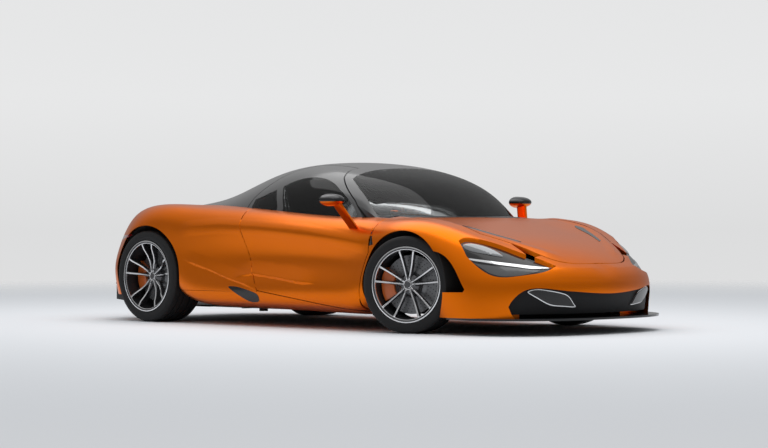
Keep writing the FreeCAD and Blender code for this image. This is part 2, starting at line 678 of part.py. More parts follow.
def lid_hinge(axis_x, axis_z, way):
    """A lid's two arms, the slots they turn in and their pins; way is 1 for a lid ahead."""
    knuckle = size("lid_knuckle_radius")
    pin = size("lid_pin_radius")
    half_arm = size("lid_arm_width") / 2
    room = half_arm + gap
    arm_end = axis_x + way * 2.5 * size("lid_hinge_set_back")
    slot_start = axis_x - way * (knuckle + gap)
    lid_arms, slots, pins = [], [], []
    for y in (-size("lid_arm_place"), size("lid_arm_place")):
        eye = Part.makeCylinder(knuckle, 2 * half_arm, Vector(axis_x, y - half_arm, axis_z), Vector(0, 1, 0))
        bar = block(sorted((axis_x, arm_end)), (y - half_arm, y + half_arm),
                    (axis_z - knuckle, axis_z + knuckle))
        bore = Part.makeCylinder(pin + size("running_gap"), reach, Vector(axis_x, y - half_width, axis_z),
                                 Vector(0, 1, 0))
        lid_arms.append(eye.fuse(bar).cut(bore))
        slots.append(block(sorted((slot_start, arm_end)), (y - room, y + room), (axis_z - 3 * knuckle, tall)))
        pins.append(Part.makeCylinder(pin, 2 * room + 4 * pin, Vector(axis_x, y - room - 2 * pin, axis_z),
                                      Vector(0, 1, 0)))
    return Part.makeCompound(lid_arms), Part.makeCompound(slots), Part.makeCompound(pins)


# Bonnet, front wings and front bumper.
bonnet_points = plan_points(bonnet_shares, ahead)
bonnet_floor = bonnet_floor_share * height
bonnet_parts = skin.common(plan_prism(bonnet_points, bonnet_floor, tall)).Solids
bonnet_shape = max(bonnet_parts, key=lambda solid: solid.Volume)
bonnet_hole = plan_prism(bonnet_points, bonnet_floor, tall, size("lid_side_gap"))
bonnet_arms, bonnet_slots, bonnet_pins = lid_hinge(
    ahead(bonnet_shares[0][0]) - size("lid_hinge_set_back"), bonnet_hinge_share * height, 1)
bonnet_shape = bonnet_shape.fuse(bonnet_arms.common(outer))
monocoque = monocoque.cut(bonnet_slots).fuse(bonnet_pins)

under_box = block((cabin_front, ahead(0.735)), (-size("front_arch_inset"), size("front_arch_inset")),
                  (0, 0.500 * height))
wing_points = plan_points(wing_cut_shares, ahead)
wing_plan = ([(mid(0.700), wing_points[0][1])] + wing_points
             + [(x, -y) for x, y in reversed(wing_points)] + [(mid(0.700), -wing_points[0][1])])
wing_zone = plan_prism(wing_plan, 0, tall)
front_skin = skin.cut(under_box).cut(arches).cut(bonnet_hole)
wing_zone = wing_zone.cut(block((front_axle, far), (-reach, reach), (0, 0.400 * height)))
wings_shape = front_skin.common(wing_zone).cut(canopy).cut(monocoque).cut(door_hole)
wings_shape = wings_shape.cut(sleeve_room).cut(across(sleeve_room))
wings_shape = wings_shape.cut(block((-far, scuttle_end + gap), (-scuttle_width, scuttle_width), (0, tall)))
wings_shape = wings_shape.cut(block((-far, mid(sill_top_shares[-1][0]) + gap), (-reach, reach),
                                    (0, door_front_shares[2][1] * height)))
lamp_points = plan_points(lamp_shares, ahead)
lamp_low = 0.310 * height
lamp_slab = both(plan_prism(lamp_points, lamp_low, tall))
lamp_seat = both(plan_prism(lamp_points, lamp_low - gap, tall, 2 * gap))
vent_slab = both(side_prism(side_points(vent_shares, ahead), 0.700 * half_width, reach))
mouth_points = front_points(mouth_shares)
mouth_slab = front_prism(mouth_points, ahead(0.640), far)
bumper_zone = block((front_axle, far), (-reach, reach), (0, tall)).cut(wing_zone)
bumper_shape = front_skin.common(bumper_zone).cut(lamp_slab).cut(vent_slab).cut(mouth_slab)
lamp_form = inner.cut(body_form(3 * size("panel_wall")))
lamps_shape = lamp_form.common(lamp_seat).cut(arches)
grille_form = inner.cut(body_form(2 * size("panel_wall")))
grille_seat = front_prism(mouth_points, ahead(0.560), far, 2 * gap)
grille_shape = grille_form.common(grille_seat).cut(arches).cut(under_box)

# Front tub: the load bay under the bonnet and the mounts of the front suspension.
tub_width = size("front_arch_inset")
tub_wall = 2 * size("liner_wall")
tub_front = ahead(0.560)
tub_split = 0.400 * height
tub_low = block((cabin_front, tub_front), (-tub_width, tub_width), (floor_low, tub_split))
tub_high = block((cabin_front, tub_front), (-tub_width, tub_width), (tub_split, tall)).common(under_skin)
bay_floor = 0.240 * height
bay = block((cabin_front + tub_wall, tub_front - tub_wall), (-tub_width + tub_wall, tub_width - tub_wall),
            (bay_floor, tall))
front_tub = tub_low.fuse(tub_high).cut(bay).cut(monocoque).cut(screen_shape)

# Wheel arch liners follow the arches and close them against the inside of the skin.
def liner(hub_x, hub_z, radius, inset):
    ring = Part.makeCylinder(radius + size("liner_wall"), reach, Vector(hub_x, inset, hub_z), Vector(0, 1, 0))
    ring = ring.cut(Part.makeCylinder(radius, reach, Vector(hub_x, inset, hub_z), Vector(0, 1, 0)))
    return ring.common(inner)


front_liner = liner(front_axle, front_hub, size("front_arch_radius"), size("front_arch_inset"))
rear_liner = liner(rear_axle, rear_hub, size("rear_arch_radius"), size("rear_arch_inset"))
rear_wall_plate = Part.makeCylinder(size("rear_arch_radius"), size("liner_wall"),
                                    Vector(rear_axle, size("rear_arch_inset") - size("liner_wall"), rear_hub),
                                    Vector(0, 1, 0)).common(inner)
liners = front_liner.fuse(rear_liner.fuse(rear_wall_plate))
liners_shape = both(liners).cut(monocoque).cut(sills).cut(front_tub).cut(door_hole).cut(lamps_shape)
liners_shape = liners_shape.cut(grille_shape)

# Rear body, rear bumper, the lamp slot between them and the moving rear wing.
rear_side = [(x - gap, z) for x, z in side_points(door_rear_shares, mid)]
rear_side = ([(rear_side[0][0], tall)] + rear_side
             + [(rear_side[-1][0], sill_top_shares[2][1] * height), (-far, sill_top_shares[1][1] * height),
                (-far, tall)])
rear_zone = side_prism(rear_side, -reach, reach)
slot_points = side_points(tail_slot_shares, astern)
cut_points = side_points(tail_cut_shares, astern)
slot_slab = side_prism(slot_points, -reach, reach)
cut_slab = side_prism(cut_points, -reach, reach)
rear_under = block((rear_axle - size("rear_arch_radius"), rear_axle + size("rear_arch_radius")),
                   (-size("rear_arch_inset"), size("rear_arch_inset")), (0, 0.480 * height))
wing_front = astern(wing_front_share)
wing_width = wing_half_share * half_width
wing_floor = wing_floor_share * height
blade_shape = skin.common(block((-far, wing_front), (-wing_width, wing_width), (wing_floor, tall)))
blade_hole = block((-far, wing_front + size("lid_gap")), (-wing_width - gap, wing_width + gap),
                   (wing_floor - gap, tall)).cut(under_skin)
tray_zone = block((-far, wing_front + 2 * size("panel_wall")),
                  (-wing_width - size("panel_wall"), wing_width + size("panel_wall")),
                  (tray_floor_share * height, tall))
tray_void = inner.cut(tray_zone.cut(body_form(size("panel_wall") + gap + 2 * size("liner_wall"))))
rear_skin = outer.cut(tray_void).cut(arches).cut(rear_under)
tail_skin = skin.cut(arches).cut(rear_under)
rear_shape = rear_skin.common(rear_zone).cut(slot_slab).cut(cut_slab).cut(blade_hole)
rear_shape = rear_shape.cut(canopy).cut(canopy_wide.common(frame_hole)).cut(monocoque).cut(door_hole)
rear_shape = rear_shape.cut(block((cabin_rear, far), (-cabin_width, cabin_width), (0, tall))).cut(sills)
tail_lamp_shape = tail_skin.common(slot_slab).cut(cut_slab).cut(blade_hole)
exhaust_room = block((-far, astern(0.700)), (-0.450 * half_width, 0.450 * half_width),
                     (0.330 * height, 0.480 * height))
diffuser_room = block((-far, far), (-0.700 * half_width, 0.700 * half_width), (0, 0.240 * height))
rear_bumper_shape = tail_skin.common(cut_slab).cut(diffuser_room).cut(exhaust_room)
wing_arms, wing_slots, wing_pins = lid_hinge(wing_front + size("lid_hinge_set_back"),
                                             wing_hinge_share * height, -1)
blade_shape = blade_shape.fuse(wing_arms.common(outer))
rear_shape = rear_shape.cut(wing_slots).cut(wing_pins)
cover_shape = cover_shape.cut(blade_hole).cut(wing_slots).cut(rear_shape).fuse(wing_pins)


# Under the tail: a flat floor that rises into a diffuser with fins.
diffuser_width = 0.680 * half_width
fin_count = 6
diffuser_wall = 2 * size("liner_wall")
diffuser_points = [(rear_axle + size("rear_arch_radius"), floor_low), (astern(0.300), floor_low),
                   (astern(0.930), 0.225 * height), (astern(0.930), 0.225 * height + diffuser_wall),
                   (astern(0.300), floor_low + diffuser_wall),
                   (rear_axle + size("rear_arch_radius"), floor_low + diffuser_wall)]
fin_points = [(astern(0.450), floor_low), (astern(0.930), 0.125 * height), (astern(0.930), 0.228 * height),
              (astern(0.300), floor_low + diffuser_wall / 2)]
diffuser_parts = [side_prism(diffuser_points, -diffuser_width, diffuser_width)]
for k in range(fin_count):
    y = (2 * k / (fin_count - 1) - 1) * (diffuser_width - diffuser_wall)
    diffuser_parts.append(side_prism(fin_points, y - diffuser_wall / 2, y + diffuser_wall / 2))
diffuser_shape = diffuser_parts[0].multiFuse(diffuser_parts[1:]).cut(rear_bumper_shape).cut(monocoque)

# Splitter under the nose, with an upturned end at each side.
splitter_shares = [(0.300, -0.880), (0.420, -0.905), [(0.620, -0.890), (0.800, -0.770), (0.925, -0.560),
                   (0.985, -0.300), (1.000, 0.000), (0.985, 0.300), (0.925, 0.560), (0.800, 0.770),
                   (0.620, 0.890), (0.420, 0.905)], (0.300, 0.880), (0.480, 0.560), (0.480, -0.560)]
splitter_low = 0.084 * height
splitter_high = nose_row_shares[-1][0] * height
splitter_shape = plan_prism(plan_points(splitter_shares, ahead), splitter_low, splitter_high)

# Inside: seats, dashboard and steering wheel, with the engine behind the cabin.
dash_shares = [(0.863, 0.420), (0.863, 0.629), (0.842, 0.633), (0.812, 0.660), (0.775, 0.668),
               (0.760, 0.652), (0.771, 0.585), (0.790, 0.470), (0.812, 0.435)]
dash_width = 0.700 * half_width
dash_shape = side_prism(side_points(dash_shares, mid), -dash_width, dash_width)
dash_shape = dash_shape.cut(monocoque).cut(roof_shape).cut(screen_shape)
seat_shares = [(0.372, 0.130), (0.352, 0.700), (0.362, 0.740), [(0.378, 0.735), (0.400, 0.500),
               (0.432, 0.300), (0.470, 0.262), (0.560, 0.275), (0.610, 0.300), (0.628, 0.290)],
               (0.628, 0.180), (0.600, 0.130)]
seat_width = 0.250 * half_width
seat_place = 0.395 * half_width
seat = side_prism(side_points(seat_shares, mid), seat_place - seat_width, seat_place + seat_width)
seat = seat.cut(monocoque).cut(sills)
seats_shape = both(seat)


def sub_part(name, shape):
    pieces = [solid for solid in shape.Solids if solid.Volume > sliver_volume]
    return node(name, pieces[0] if len(pieces) == 1 else Part.makeCompound(pieces))


sub_part("monocoque", monocoque)
sub_part("side_sills", sills)
sub_part("jacking_pads", Part.makeCompound(jack_pads))
sub_part("front_structure", front_tub)
sub_part("front_wings", wings_shape)
sub_part("front_bumper", bumper_shape)
sub_part("front_splitter", splitter_shape)
sub_part("front_grille", grille_shape)
sub_part("headlamps", lamps_shape)
sub_part("bonnet", bonnet_shape)
sub_part("roof_frame", roof_shape)
sub_part("windscreen", screen_shape)
sub_part("rear_glazing", rear_screen_shape)
sub_part("engine_cover", cover_shape)
sub_part("rear_body", rear_shape)
sub_part("rear_bumper", rear_bumper_shape)
sub_part("rear_diffuser", diffuser_shape)
sub_part("rear_wing", blade_shape)
sub_part("tail_lamps", tail_lamp_shape)
sub_part("seats", seats_shape)
sub_part("dashboard", dash_shape)
for side, turn in (("right", lambda shape: shape), ("left", across)):
    sub_part("door_%s_skin" % side, turn(door_shape))
    sub_part("door_%s_frame" % side, turn(frame_shape))
    sub_part("door_%s_glass" % side, turn(pane_shape))


# Bound features: boxes and round parts whose sizes are read from the sheet.
def from_sheet(text):
    return re.sub(r"\b([a-z][a-z_]+[a-z])\b", r"Sizes.\1", text)


def box(name, length, width, tall_side, x, y, z):
    feature = doc.addObject("Part::Box", name)
    for prop, text in (("Length", length), ("Width", width), ("Height", tall_side),
                       ("Placement.Base.x", x), ("Placement.Base.y", y), ("Placement.Base.z", z)):
        feature.setExpression(prop, from_sheet(text))
    return feature


def round_bar(name, radius, length, x, y, z, direction=Vector(0, 1, 0)):
    feature = doc.addObject("Part::Cylinder", name)
    feature.Placement.Rotation = Rotation(Vector(0, 0, 1), direction)
    for prop, text in (("Radius", radius), ("Height", length), ("Placement.Base.x", x),
                       ("Placement.Base.y", y), ("Placement.Base.z", z)):
        feature.setExpression(prop, from_sheet(text))
    return feature


def fused(name, features):
    result = doc.addObject("Part::MultiFuse", name)
    result.Shapes = features
    return result


def less(name, base, tool):
    result = doc.addObject("Part::Cut", name)
    result.Base = base
    result.Tool = tool
    return result


def origin_plane(body, role):
    return [feature for feature in body.Origin.OriginFeatures if feature.Role == role][0]


def profile(body, name, points, turned=0):
    """A closed sketch in a body's XY plane; each corner is a pair of expressions."""
    sketch = body.newObject("Sketcher::SketchObject", name)
    sketch.AttachmentSupport = (origin_plane(body, "XY_Plane"), [""])
    sketch.MapMode = "FlatFace"
    if turned:
        sketch.AttachmentOffset = Placement(Vector(), Rotation(Vector(0, 1, 0), turned))
    corners = [Vector(float(sizes.evalExpression(x)), float(sizes.evalExpression(y)), 0)
               for x, y in points]
    for k, corner in enumerate(corners):
        sketch.addGeometry(Part.LineSegment(corner, corners[(k + 1) % len(corners)]), False)
    for k, (x, y) in enumerate(points):
        sketch.addConstraint(Sketcher.Constraint("Coincident", k, 2, (k + 1) % len(points), 1))
    for k, (x, y) in enumerate(points):
        for kind, text, value in (("DistanceX", x, corners[k].x), ("DistanceY", y, corners[k].y)):
            axis = -2 if kind == "DistanceX" else -1
            if text == "0":
                sketch.addConstraint(Sketcher.Constraint("PointOnObject", k, 1, axis))
                continue
            index = sketch.addConstraint(Sketcher.Constraint(kind, -1, 1, k, 1, value))
            sketch.setExpression("Constraints[%d]" % index, from_sheet(text))
    return sketch


def turned_form(body, name, points):
    feature = body.newObject("PartDesign::Revolution", name)
    sketch = profile(body, name + "Profile", points)
    feature.Profile = sketch
    feature.ReferenceAxis = (sketch, ["V_Axis"])
    feature.Angle = 360
    sketch.Visibility = False
    return feature


def corner_placement(end, side):
    """Where a wheel stands: its body's Y axis is the axle and points outboard."""
    sign = 1 if side == "left" else -1
    turn = 0 if end == "rear" else size("steer_rest")
    inset = 0 if end == "rear" else size("steer_offset")
    axle, hub = (rear_axle, rear_hub) if end == "rear" else (front_axle, front_hub)
    way = Rotation(Vector(0, 0, 1), turn)
    spot = Vector(axle, sign * (size(end + "_track") / 2 - inset), hub)
    spot += way.multVec(Vector(0, sign * inset, 0))
    if side == "right":
        way = Rotation(Vector(0, 0, 1), turn + 180)
    return Placement(spot, way)


def finished(feature, name, placement):
    feature.Label = name
    feature.Placement = placement
    nodes.append(feature)
    return feature


def tyre(end, side):
    body = doc.addObject("PartDesign::Body", "Tyre" + end + side)
    names = {"r": "%s_tyre_radius" % end, "w": "%s_tyre_width" % end, "f": "%s_rim_radius" % end}
    wall = [(0.16, 0.485), (0.42, 0.500), (0.72, 0.485), (0.90, 0.450), (0.98, 0.400), (1.00, 0.330)]
    side_wall = [("{f} + %s * ({r} - {f})" % rise, "{w} * %s" % out) for rise, out in wall]
    half = [("{f} - bead_depth", "({w} * 0.5 - 2 * rim_wall)"),
            ("{f} + rim_wall / 4", "({w} * 0.5 - 2 * rim_wall)")] + side_wall
    points = [(x, "-" + y) for x, y in half] + list(reversed(half))
    turned_form(body, "Carcass" + end + side, [(x.format(**names), y.format(**names)) for x, y in points])
    return finished(body, "tyre_%s_%s" % (end, side), corner_placement(end, side))


def rim(end, side):
    body = doc.addObject("PartDesign::Body", "Rim" + end + side)
    f = "%s_rim_radius" % end
    bead = "(%s_tyre_width * 0.5 - 2 * rim_wall)" % end
    edge = "(%s_tyre_width * 0.5 - rim_wall)" % end
    seat = "(%s - bead_depth)" % f
    well = "(%s - bead_depth - well_depth)" % f
    turned_form(body, "Barrel" + end + side, [
        (f, "-" + edge), (f, "-" + bead), (seat, "-" + bead), (seat, "-%s * 0.62" % bead),
        (well, "-%s * 0.50" % bead), (well, "%s * 0.50" % bead), (seat, "%s * 0.70" % bead), (seat, bead),
        (f, bead), (f, edge), ("%s - rim_wall" % f, edge), ("%s - rim_wall" % seat, bead),
        ("%s - rim_wall" % seat, "%s * 0.78" % bead), ("%s - rim_wall" % well, "%s * 0.55" % bead),
        ("%s - rim_wall" % well, "-%s * 0.55" % bead), ("%s - rim_wall" % seat, "-%s * 0.70" % bead),
        ("%s - rim_wall" % seat, "-" + bead), ("%s - rim_wall" % f, "-" + edge)])
    turned_form(body, "Hub" + end + side, [
        ("spindle_radius + running_gap", "hat_face"), ("hat_radius", "hat_face"),
        ("hat_radius", "hat_face + hub_rise * 0.5"), ("hat_radius * 0.8", "hat_face + hub_rise"),
        ("cap_radius", "hat_face + hub_rise"), ("cap_radius", "hat_face + hub_rise * 0.8"),
        ("0", "hat_face + hub_rise * 0.8"), ("0", "hat_face + hub_rise * 0.3"),
        ("spindle_radius + running_gap", "hat_face + hub_rise * 0.3")])
    spokes = []
    for k, way in enumerate((1, -1)):
        sketch = profile(body, "Spoke%d" % k + end + side, [
            ("hat_radius * 0.7", "hat_face + hub_rise * 0.15"),
            ("hat_radius * 0.7", "hat_face + hub_rise"),
            ("rotor_inner", "hat_face + hub_rise * 1.05"),
            ("%s * 0.75" % f, "%s * 0.88" % edge),
            ("%s - rim_wall * 1.5" % f, edge),
            ("%s - rim_wall * 0.5" % seat, "%s * 0.80" % bead),
            ("%s * 0.80" % f, "caliper_reach + rim_wall * 2.2"),
            ("rotor_inner", "caliper_reach + rim_wall * 0.8")], way * size("spoke_angle"))
        pad = body.newObject("PartDesign::Pad", "SpokePad%d" % k + end + side)
        pad.Profile = sketch
        pad.Midplane = True
        pad.setExpression("Length", "Sizes.spoke_width")
        spokes.append(pad)
    doc.recompute()
    pattern = body.newObject("PartDesign::PolarPattern", "Spokes" + end + side)
    pattern.Originals = spokes
    pattern.Axis = (origin_plane(body, "Y_Axis"), [""])
    pattern.Angle = 360
    pattern.setExpression("Occurrences", "Sizes.spoke_pairs")
    body.Tip = pattern
    return finished(body, "rim_%s_%s" % (end, side), corner_placement(end, side))


def brake_disc(end, side):
    body = doc.addObject("PartDesign::Body", "Disc" + end + side)
    turned_form(body, "Rotor" + end + side, [
        ("rotor_radius", "rotor_low"), ("rotor_radius", "rotor_high"), ("rotor_inner", "rotor_high"),
        ("hat_radius + hat_wall", "rotor_high + hat_wall"), ("hat_radius", "hat_face"),
        ("spindle_radius + running_gap", "hat_face"),
        ("spindle_radius + running_gap", "hat_face - hat_wall"),
        ("hat_radius - hat_wall", "hat_face - hat_wall"), ("hat_radius", "rotor_low")])
    return finished(body, "brake_disc_%s_%s" % (end, side), corner_placement(end, side))


def upright(end, side):
    """Upright with its spindle and brake caliper, in the wheel's own frame."""
    tag = end + side
    bearing = round_bar("Bearing" + tag, "bearing_radius", "upright_low - upright_high", "0",
                        "-upright_low", "0")
    spindle = round_bar("Spindle" + tag, "spindle_radius", "upright_high + spindle_end", "0",
                        "-upright_high", "0")
    post = box("Post" + tag, "upright_width", "upright_low - upright_high - rim_wall",
               "2 * (joint_rise - joint_radius - running_gap)", "-upright_width / 2",
               "-upright_low + rim_wall", "-joint_rise + joint_radius + running_gap")
    drum = round_bar("CaliperBody" + tag, "caliper_radius", "2 * caliper_reach", "0", "-caliper_reach", "0")
    drum.setExpression("Angle", "Sizes.caliper_angle")
    middle = 180 if side == "left" else 0
    drum.Placement.Rotation = drum.Placement.Rotation.multiply(
        Rotation(Vector(0, 0, 1), middle - size("caliper_angle") / 2))
    core = round_bar("CaliperCore" + tag, "caliper_inner", "4 * caliper_reach", "0",
                     "-2 * caliper_reach", "0")
    room = round_bar("RotorRoom" + tag, "rotor_radius + moving_gap",
                     "rotor_high - rotor_low + 2 * moving_gap", "0", "rotor_low - moving_gap", "0")
    caliper = less("Caliper" + tag, less("CaliperShell" + tag, drum, core), room)
    start = "-caliper_inner * 1.2" if side == "left" else "0"
    bracket = box("Bracket" + tag, "caliper_inner * 1.2", "hat_wall * 2", "upright_width", start,
                  "-caliper_reach", "-upright_width / 2")
    return fused("Upright" + tag, [bearing, spindle, post, caliper, bracket])


def arms(end, side):
    """Two wishbones with their ball joints, from the body out to the upright."""
    sign = 1 if side == "left" else -1
    axle, hub = (front_axle, front_hub) if end == "front" else (rear_axle, rear_hub)
    ball_y = size(end + "_track") / 2 - size("steer_offset")
    root_y = size("front_arch_inset") if end == "front" else size("engine_width") / 2
    shapes = []
    for way in (1, -1):
        ball = Vector(axle, sign * ball_y, hub + way * size("joint_rise"))
        joint = Part.makeCylinder(size("joint_radius"), 2 * size("joint_radius"),
                                  ball - Vector(0, 0, size("joint_radius")))
        legs = []
        for spread in (1, -1):
            leg = Vector(axle + spread * size("arm_spread"), sign * root_y, ball.z) - ball
            legs.append(Part.makeCylinder(size("arm_radius"), leg.Length + size("arm_radius"), ball, leg))
        inner_side = block((-far, far), (-root_y, root_y), (0, tall))
        shapes.append(joint.multiFuse(legs).cut(inner_side))
    return shapes


all_arms = []
for end in ("front", "rear"):
    for side in ("left", "right"):
        tyre(end, side)
        rim(end, side)
        brake_disc(end, side)
        all_arms += arms(end, side)
finished(upright("front", "left"), "front_upright_left", corner_placement("front", "left"))
finished(upright("front", "right"), "front_upright_right", corner_placement("front", "right"))
rear_pair = []
for side in ("left", "right"):
    post = upright("rear", side)
    post.Placement = corner_placement("rear", side)
    rear_pair.append(post)
rear_uprights = doc.addObject("Part::Compound", "RearUprights")
rear_uprights.Links = rear_pair
finished(rear_uprights, "rear_uprights", Placement())

# Engine with its gearbox behind the cabin, and the exhaust out through the tail.
engine = box("Engine", "engine_length", "engine_width", "engine_high - engine_low",
             "rear_bulkhead_x - bulkhead_wall - engine_length", "-engine_width / 2", "engine_low")
gearbox = box("Gearbox", "gearbox_length", "engine_width", "gearbox_high - engine_low",
              "rear_bulkhead_x - bulkhead_wall - engine_length - gearbox_length", "-engine_width / 2",
              "engine_low")
finished(fused("PowerUnit", [engine, gearbox]), "engine_block", Placement())
silencer = box("Silencer", "silencer_end + rear_bulkhead_x - bulkhead_wall - engine_length - gearbox_length",
               "silencer_width", "silencer_high - silencer_low", "-silencer_end", "-silencer_width / 2",
               "silencer_low")
pipes = []
for k, place in enumerate(("tail_pipe_place", "-tail_pipe_place")):
    middle = "(silencer_low + silencer_high) / 2"
    pipe = round_bar("Pipe%d" % k, "tail_pipe_radius", "tail_pipe_end - silencer_end", "-tail_pipe_end",
                     place, middle, Vector(1, 0, 0))
    hollow = round_bar("PipeHollow%d" % k, "tail_pipe_radius - tail_pipe_wall",
                       "tail_pipe_end - silencer_end", "-tail_pipe_end", place, middle, Vector(1, 0, 0))
    pipes.append(less("TailPipe%d" % k, pipe, hollow))
finished(fused("Exhaust", [silencer] + pipes), "exhaust", Placement())

# Steering wheel on its column, carried by the dashboard.
lean_angle = math.radians(size("steering_lean"))
lean = Vector(math.cos(lean_angle), 0, -math.sin(lean_angle))
wheel_place = Vector(mid(0.689), 0.389 * half_width, 0.595 * height)
wheel_rim = Part.makeTorus(size("steering_wheel_radius"), size("steering_rim_radius"), wheel_place, lean)
boss = Part.makeCylinder(size("steering_boss_radius"), 2 * size("steering_rim_radius"),
                         wheel_place - lean * size("steering_rim_radius"), lean)
column = Part.makeCylinder(size("steering_column_radius"), size("steering_wheel_radius") * 2,
                           wheel_place, lean)
grips = []
for turn in (0, 90, 180):
    grip = block((-size("steering_rim_radius") / 2, size("steering_rim_radius") / 2),
                 (0, size("steering_wheel_radius")),
                 (-size("steering_rim_radius"), size("steering_rim_radius")))
    grip.rotate(Vector(), Vector(1, 0, 0), -turn)
    grip.rotate(Vector(), Vector(0, 1, 0), size("steering_lean"))
    grip.translate(wheel_place)
    grips.append(grip)
steering_shape = wheel_rim.multiFuse([boss, column] + grips).cut(dash_shape)
steering_shape = max(steering_shape.Solids, key=lambda solid: solid.Volume)

# Door mirrors: a flat arm from the door's shoulder and an oval housing cut off at the glass.
mirror_root_shares = [(0.832, -0.895), (0.802, -0.895), (0.802, -0.912), (0.832, -0.912)]
mirror_top_shares = [(0.790, -1.000), (0.760, -1.000), (0.760, -1.020), (0.790, -1.020)]
mirror_root = [Vector(mid(x), y * half_width, 0.560 * height) for x, y in mirror_root_shares]
mirror_top = [Vector(mid(x), y * half_width, 0.745 * height) for x, y in mirror_top_shares]
arm = Part.makeLoft([Part.makePolygon(mirror_root + mirror_root[:1]),
                     Part.makePolygon(mirror_top + mirror_top[:1])], True, True)
mirror_width = 0.100 * half_width
mirror_height = 0.036 * height
mirror_depth = 0.110 * half_width
mirror_place = Vector(mid(0.757), -size("mirror_reach") + mirror_width, 0.752 * height)
bulge_shares = [(0.00, 1.00), (0.40, 0.94), (0.75, 0.74), (0.94, 0.44), (1.00, 0.16)]
sections = []
for depth_share, width_share in bulge_shares:
    middle = mirror_place + Vector(depth_share * mirror_depth, 0, 0)
    oval = Part.Ellipse(middle + Vector(0, width_share * mirror_width, 0),
                        middle + Vector(0, 0, width_share * mirror_height), middle)
    sections.append(Part.Wire(oval.toShape()))
housing = Part.makeLoft(sections, True)
mirror_shape = arm.fuse(housing).cut(outer).cut(canopy)
mirror_shape = max(mirror_shape.Solids, key=lambda solid: solid.Volume)

liners_shape = liners_shape.cut(Part.makeCompound(all_arms))
sub_part("suspension_arms", Part.makeCompound(all_arms))
sub_part("arch_liners", liners_shape)
sub_part("steering_wheel", steering_shape)
sub_part("mirror_right", mirror_shape)
sub_part("mirror_left", across(mirror_shape))


doc.recompute()
for item in doc.Objects:
    assert not {"Invalid", "Error"} & set(item.State), item.Label
os.makedirs("parts", exist_ok=True)
for part in nodes:
    shape = part.Shape
    assert not shape.isNull() and shape.isValid(), part.Label
    shape.exportStep("parts/%s.step" % part.Label)
    print(part.Label, len(shape.Solids), round(shape.Volume / 1e6, 2))
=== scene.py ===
import json
import math

import bmesh
import bpy
import numpy as np
from mathutils import Matrix, Vector
from mathutils.bvhtree import BVHTree
from mathutils.geometry import delaunay_2d_cdt
from mathutils.kdtree import KDTree

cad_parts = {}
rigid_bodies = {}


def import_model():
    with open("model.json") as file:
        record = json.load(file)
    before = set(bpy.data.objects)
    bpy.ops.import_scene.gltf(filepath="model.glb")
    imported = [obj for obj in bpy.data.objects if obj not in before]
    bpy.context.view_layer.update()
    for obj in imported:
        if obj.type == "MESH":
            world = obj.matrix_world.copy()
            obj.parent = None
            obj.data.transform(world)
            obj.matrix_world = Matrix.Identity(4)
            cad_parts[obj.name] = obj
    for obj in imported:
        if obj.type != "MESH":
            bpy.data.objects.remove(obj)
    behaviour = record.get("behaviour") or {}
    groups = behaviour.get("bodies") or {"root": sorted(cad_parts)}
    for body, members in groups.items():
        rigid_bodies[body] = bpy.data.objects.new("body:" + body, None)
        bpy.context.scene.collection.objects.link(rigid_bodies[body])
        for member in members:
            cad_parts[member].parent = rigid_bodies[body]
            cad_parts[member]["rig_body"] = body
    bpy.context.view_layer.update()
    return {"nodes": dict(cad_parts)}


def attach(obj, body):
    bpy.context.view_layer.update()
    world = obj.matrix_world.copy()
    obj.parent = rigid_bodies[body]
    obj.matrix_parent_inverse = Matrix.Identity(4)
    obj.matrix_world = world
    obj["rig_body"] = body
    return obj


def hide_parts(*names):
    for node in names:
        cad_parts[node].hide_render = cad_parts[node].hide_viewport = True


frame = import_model()
cadNodes = frame["nodes"]
scene = bpy.context.scene
print("frame loaded,", len(cadNodes), "nodes")


def linkedObject(name, data):
    made = bpy.data.objects.new(name, data)
    scene.collection.objects.link(made)
    return made


# A node with its own settings and its inputs' plain values.
def newNode(tree, kind, values=None, **own):
    made = tree.nodes.new(kind)
    for key, value in own.items():
        setattr(made, key, value)
    for socket, value in (values or {}).items():
        made.inputs[socket].default_value = value
    return made


# A Math node fed by numbers or by other nodes' outputs.
def mathNode(tree, operation, *terms):
    made = newNode(tree, "ShaderNodeMath", operation=operation)
    for slot, term in enumerate(terms):
        if isinstance(term, (int, float)):
            made.inputs[slot].default_value = term
        else:
            tree.links.new(term, made.inputs[slot])
    return made.outputs[0]


# Shared effect: slow tone changes and a fine grain, for colour, roughness and bump. The group is
# built once and placed in every material with its own values.
grainSettings = {"slowScale": 3.5, "slowDetail": 4, "fineDetail": 3, "fineShare": 0.5}


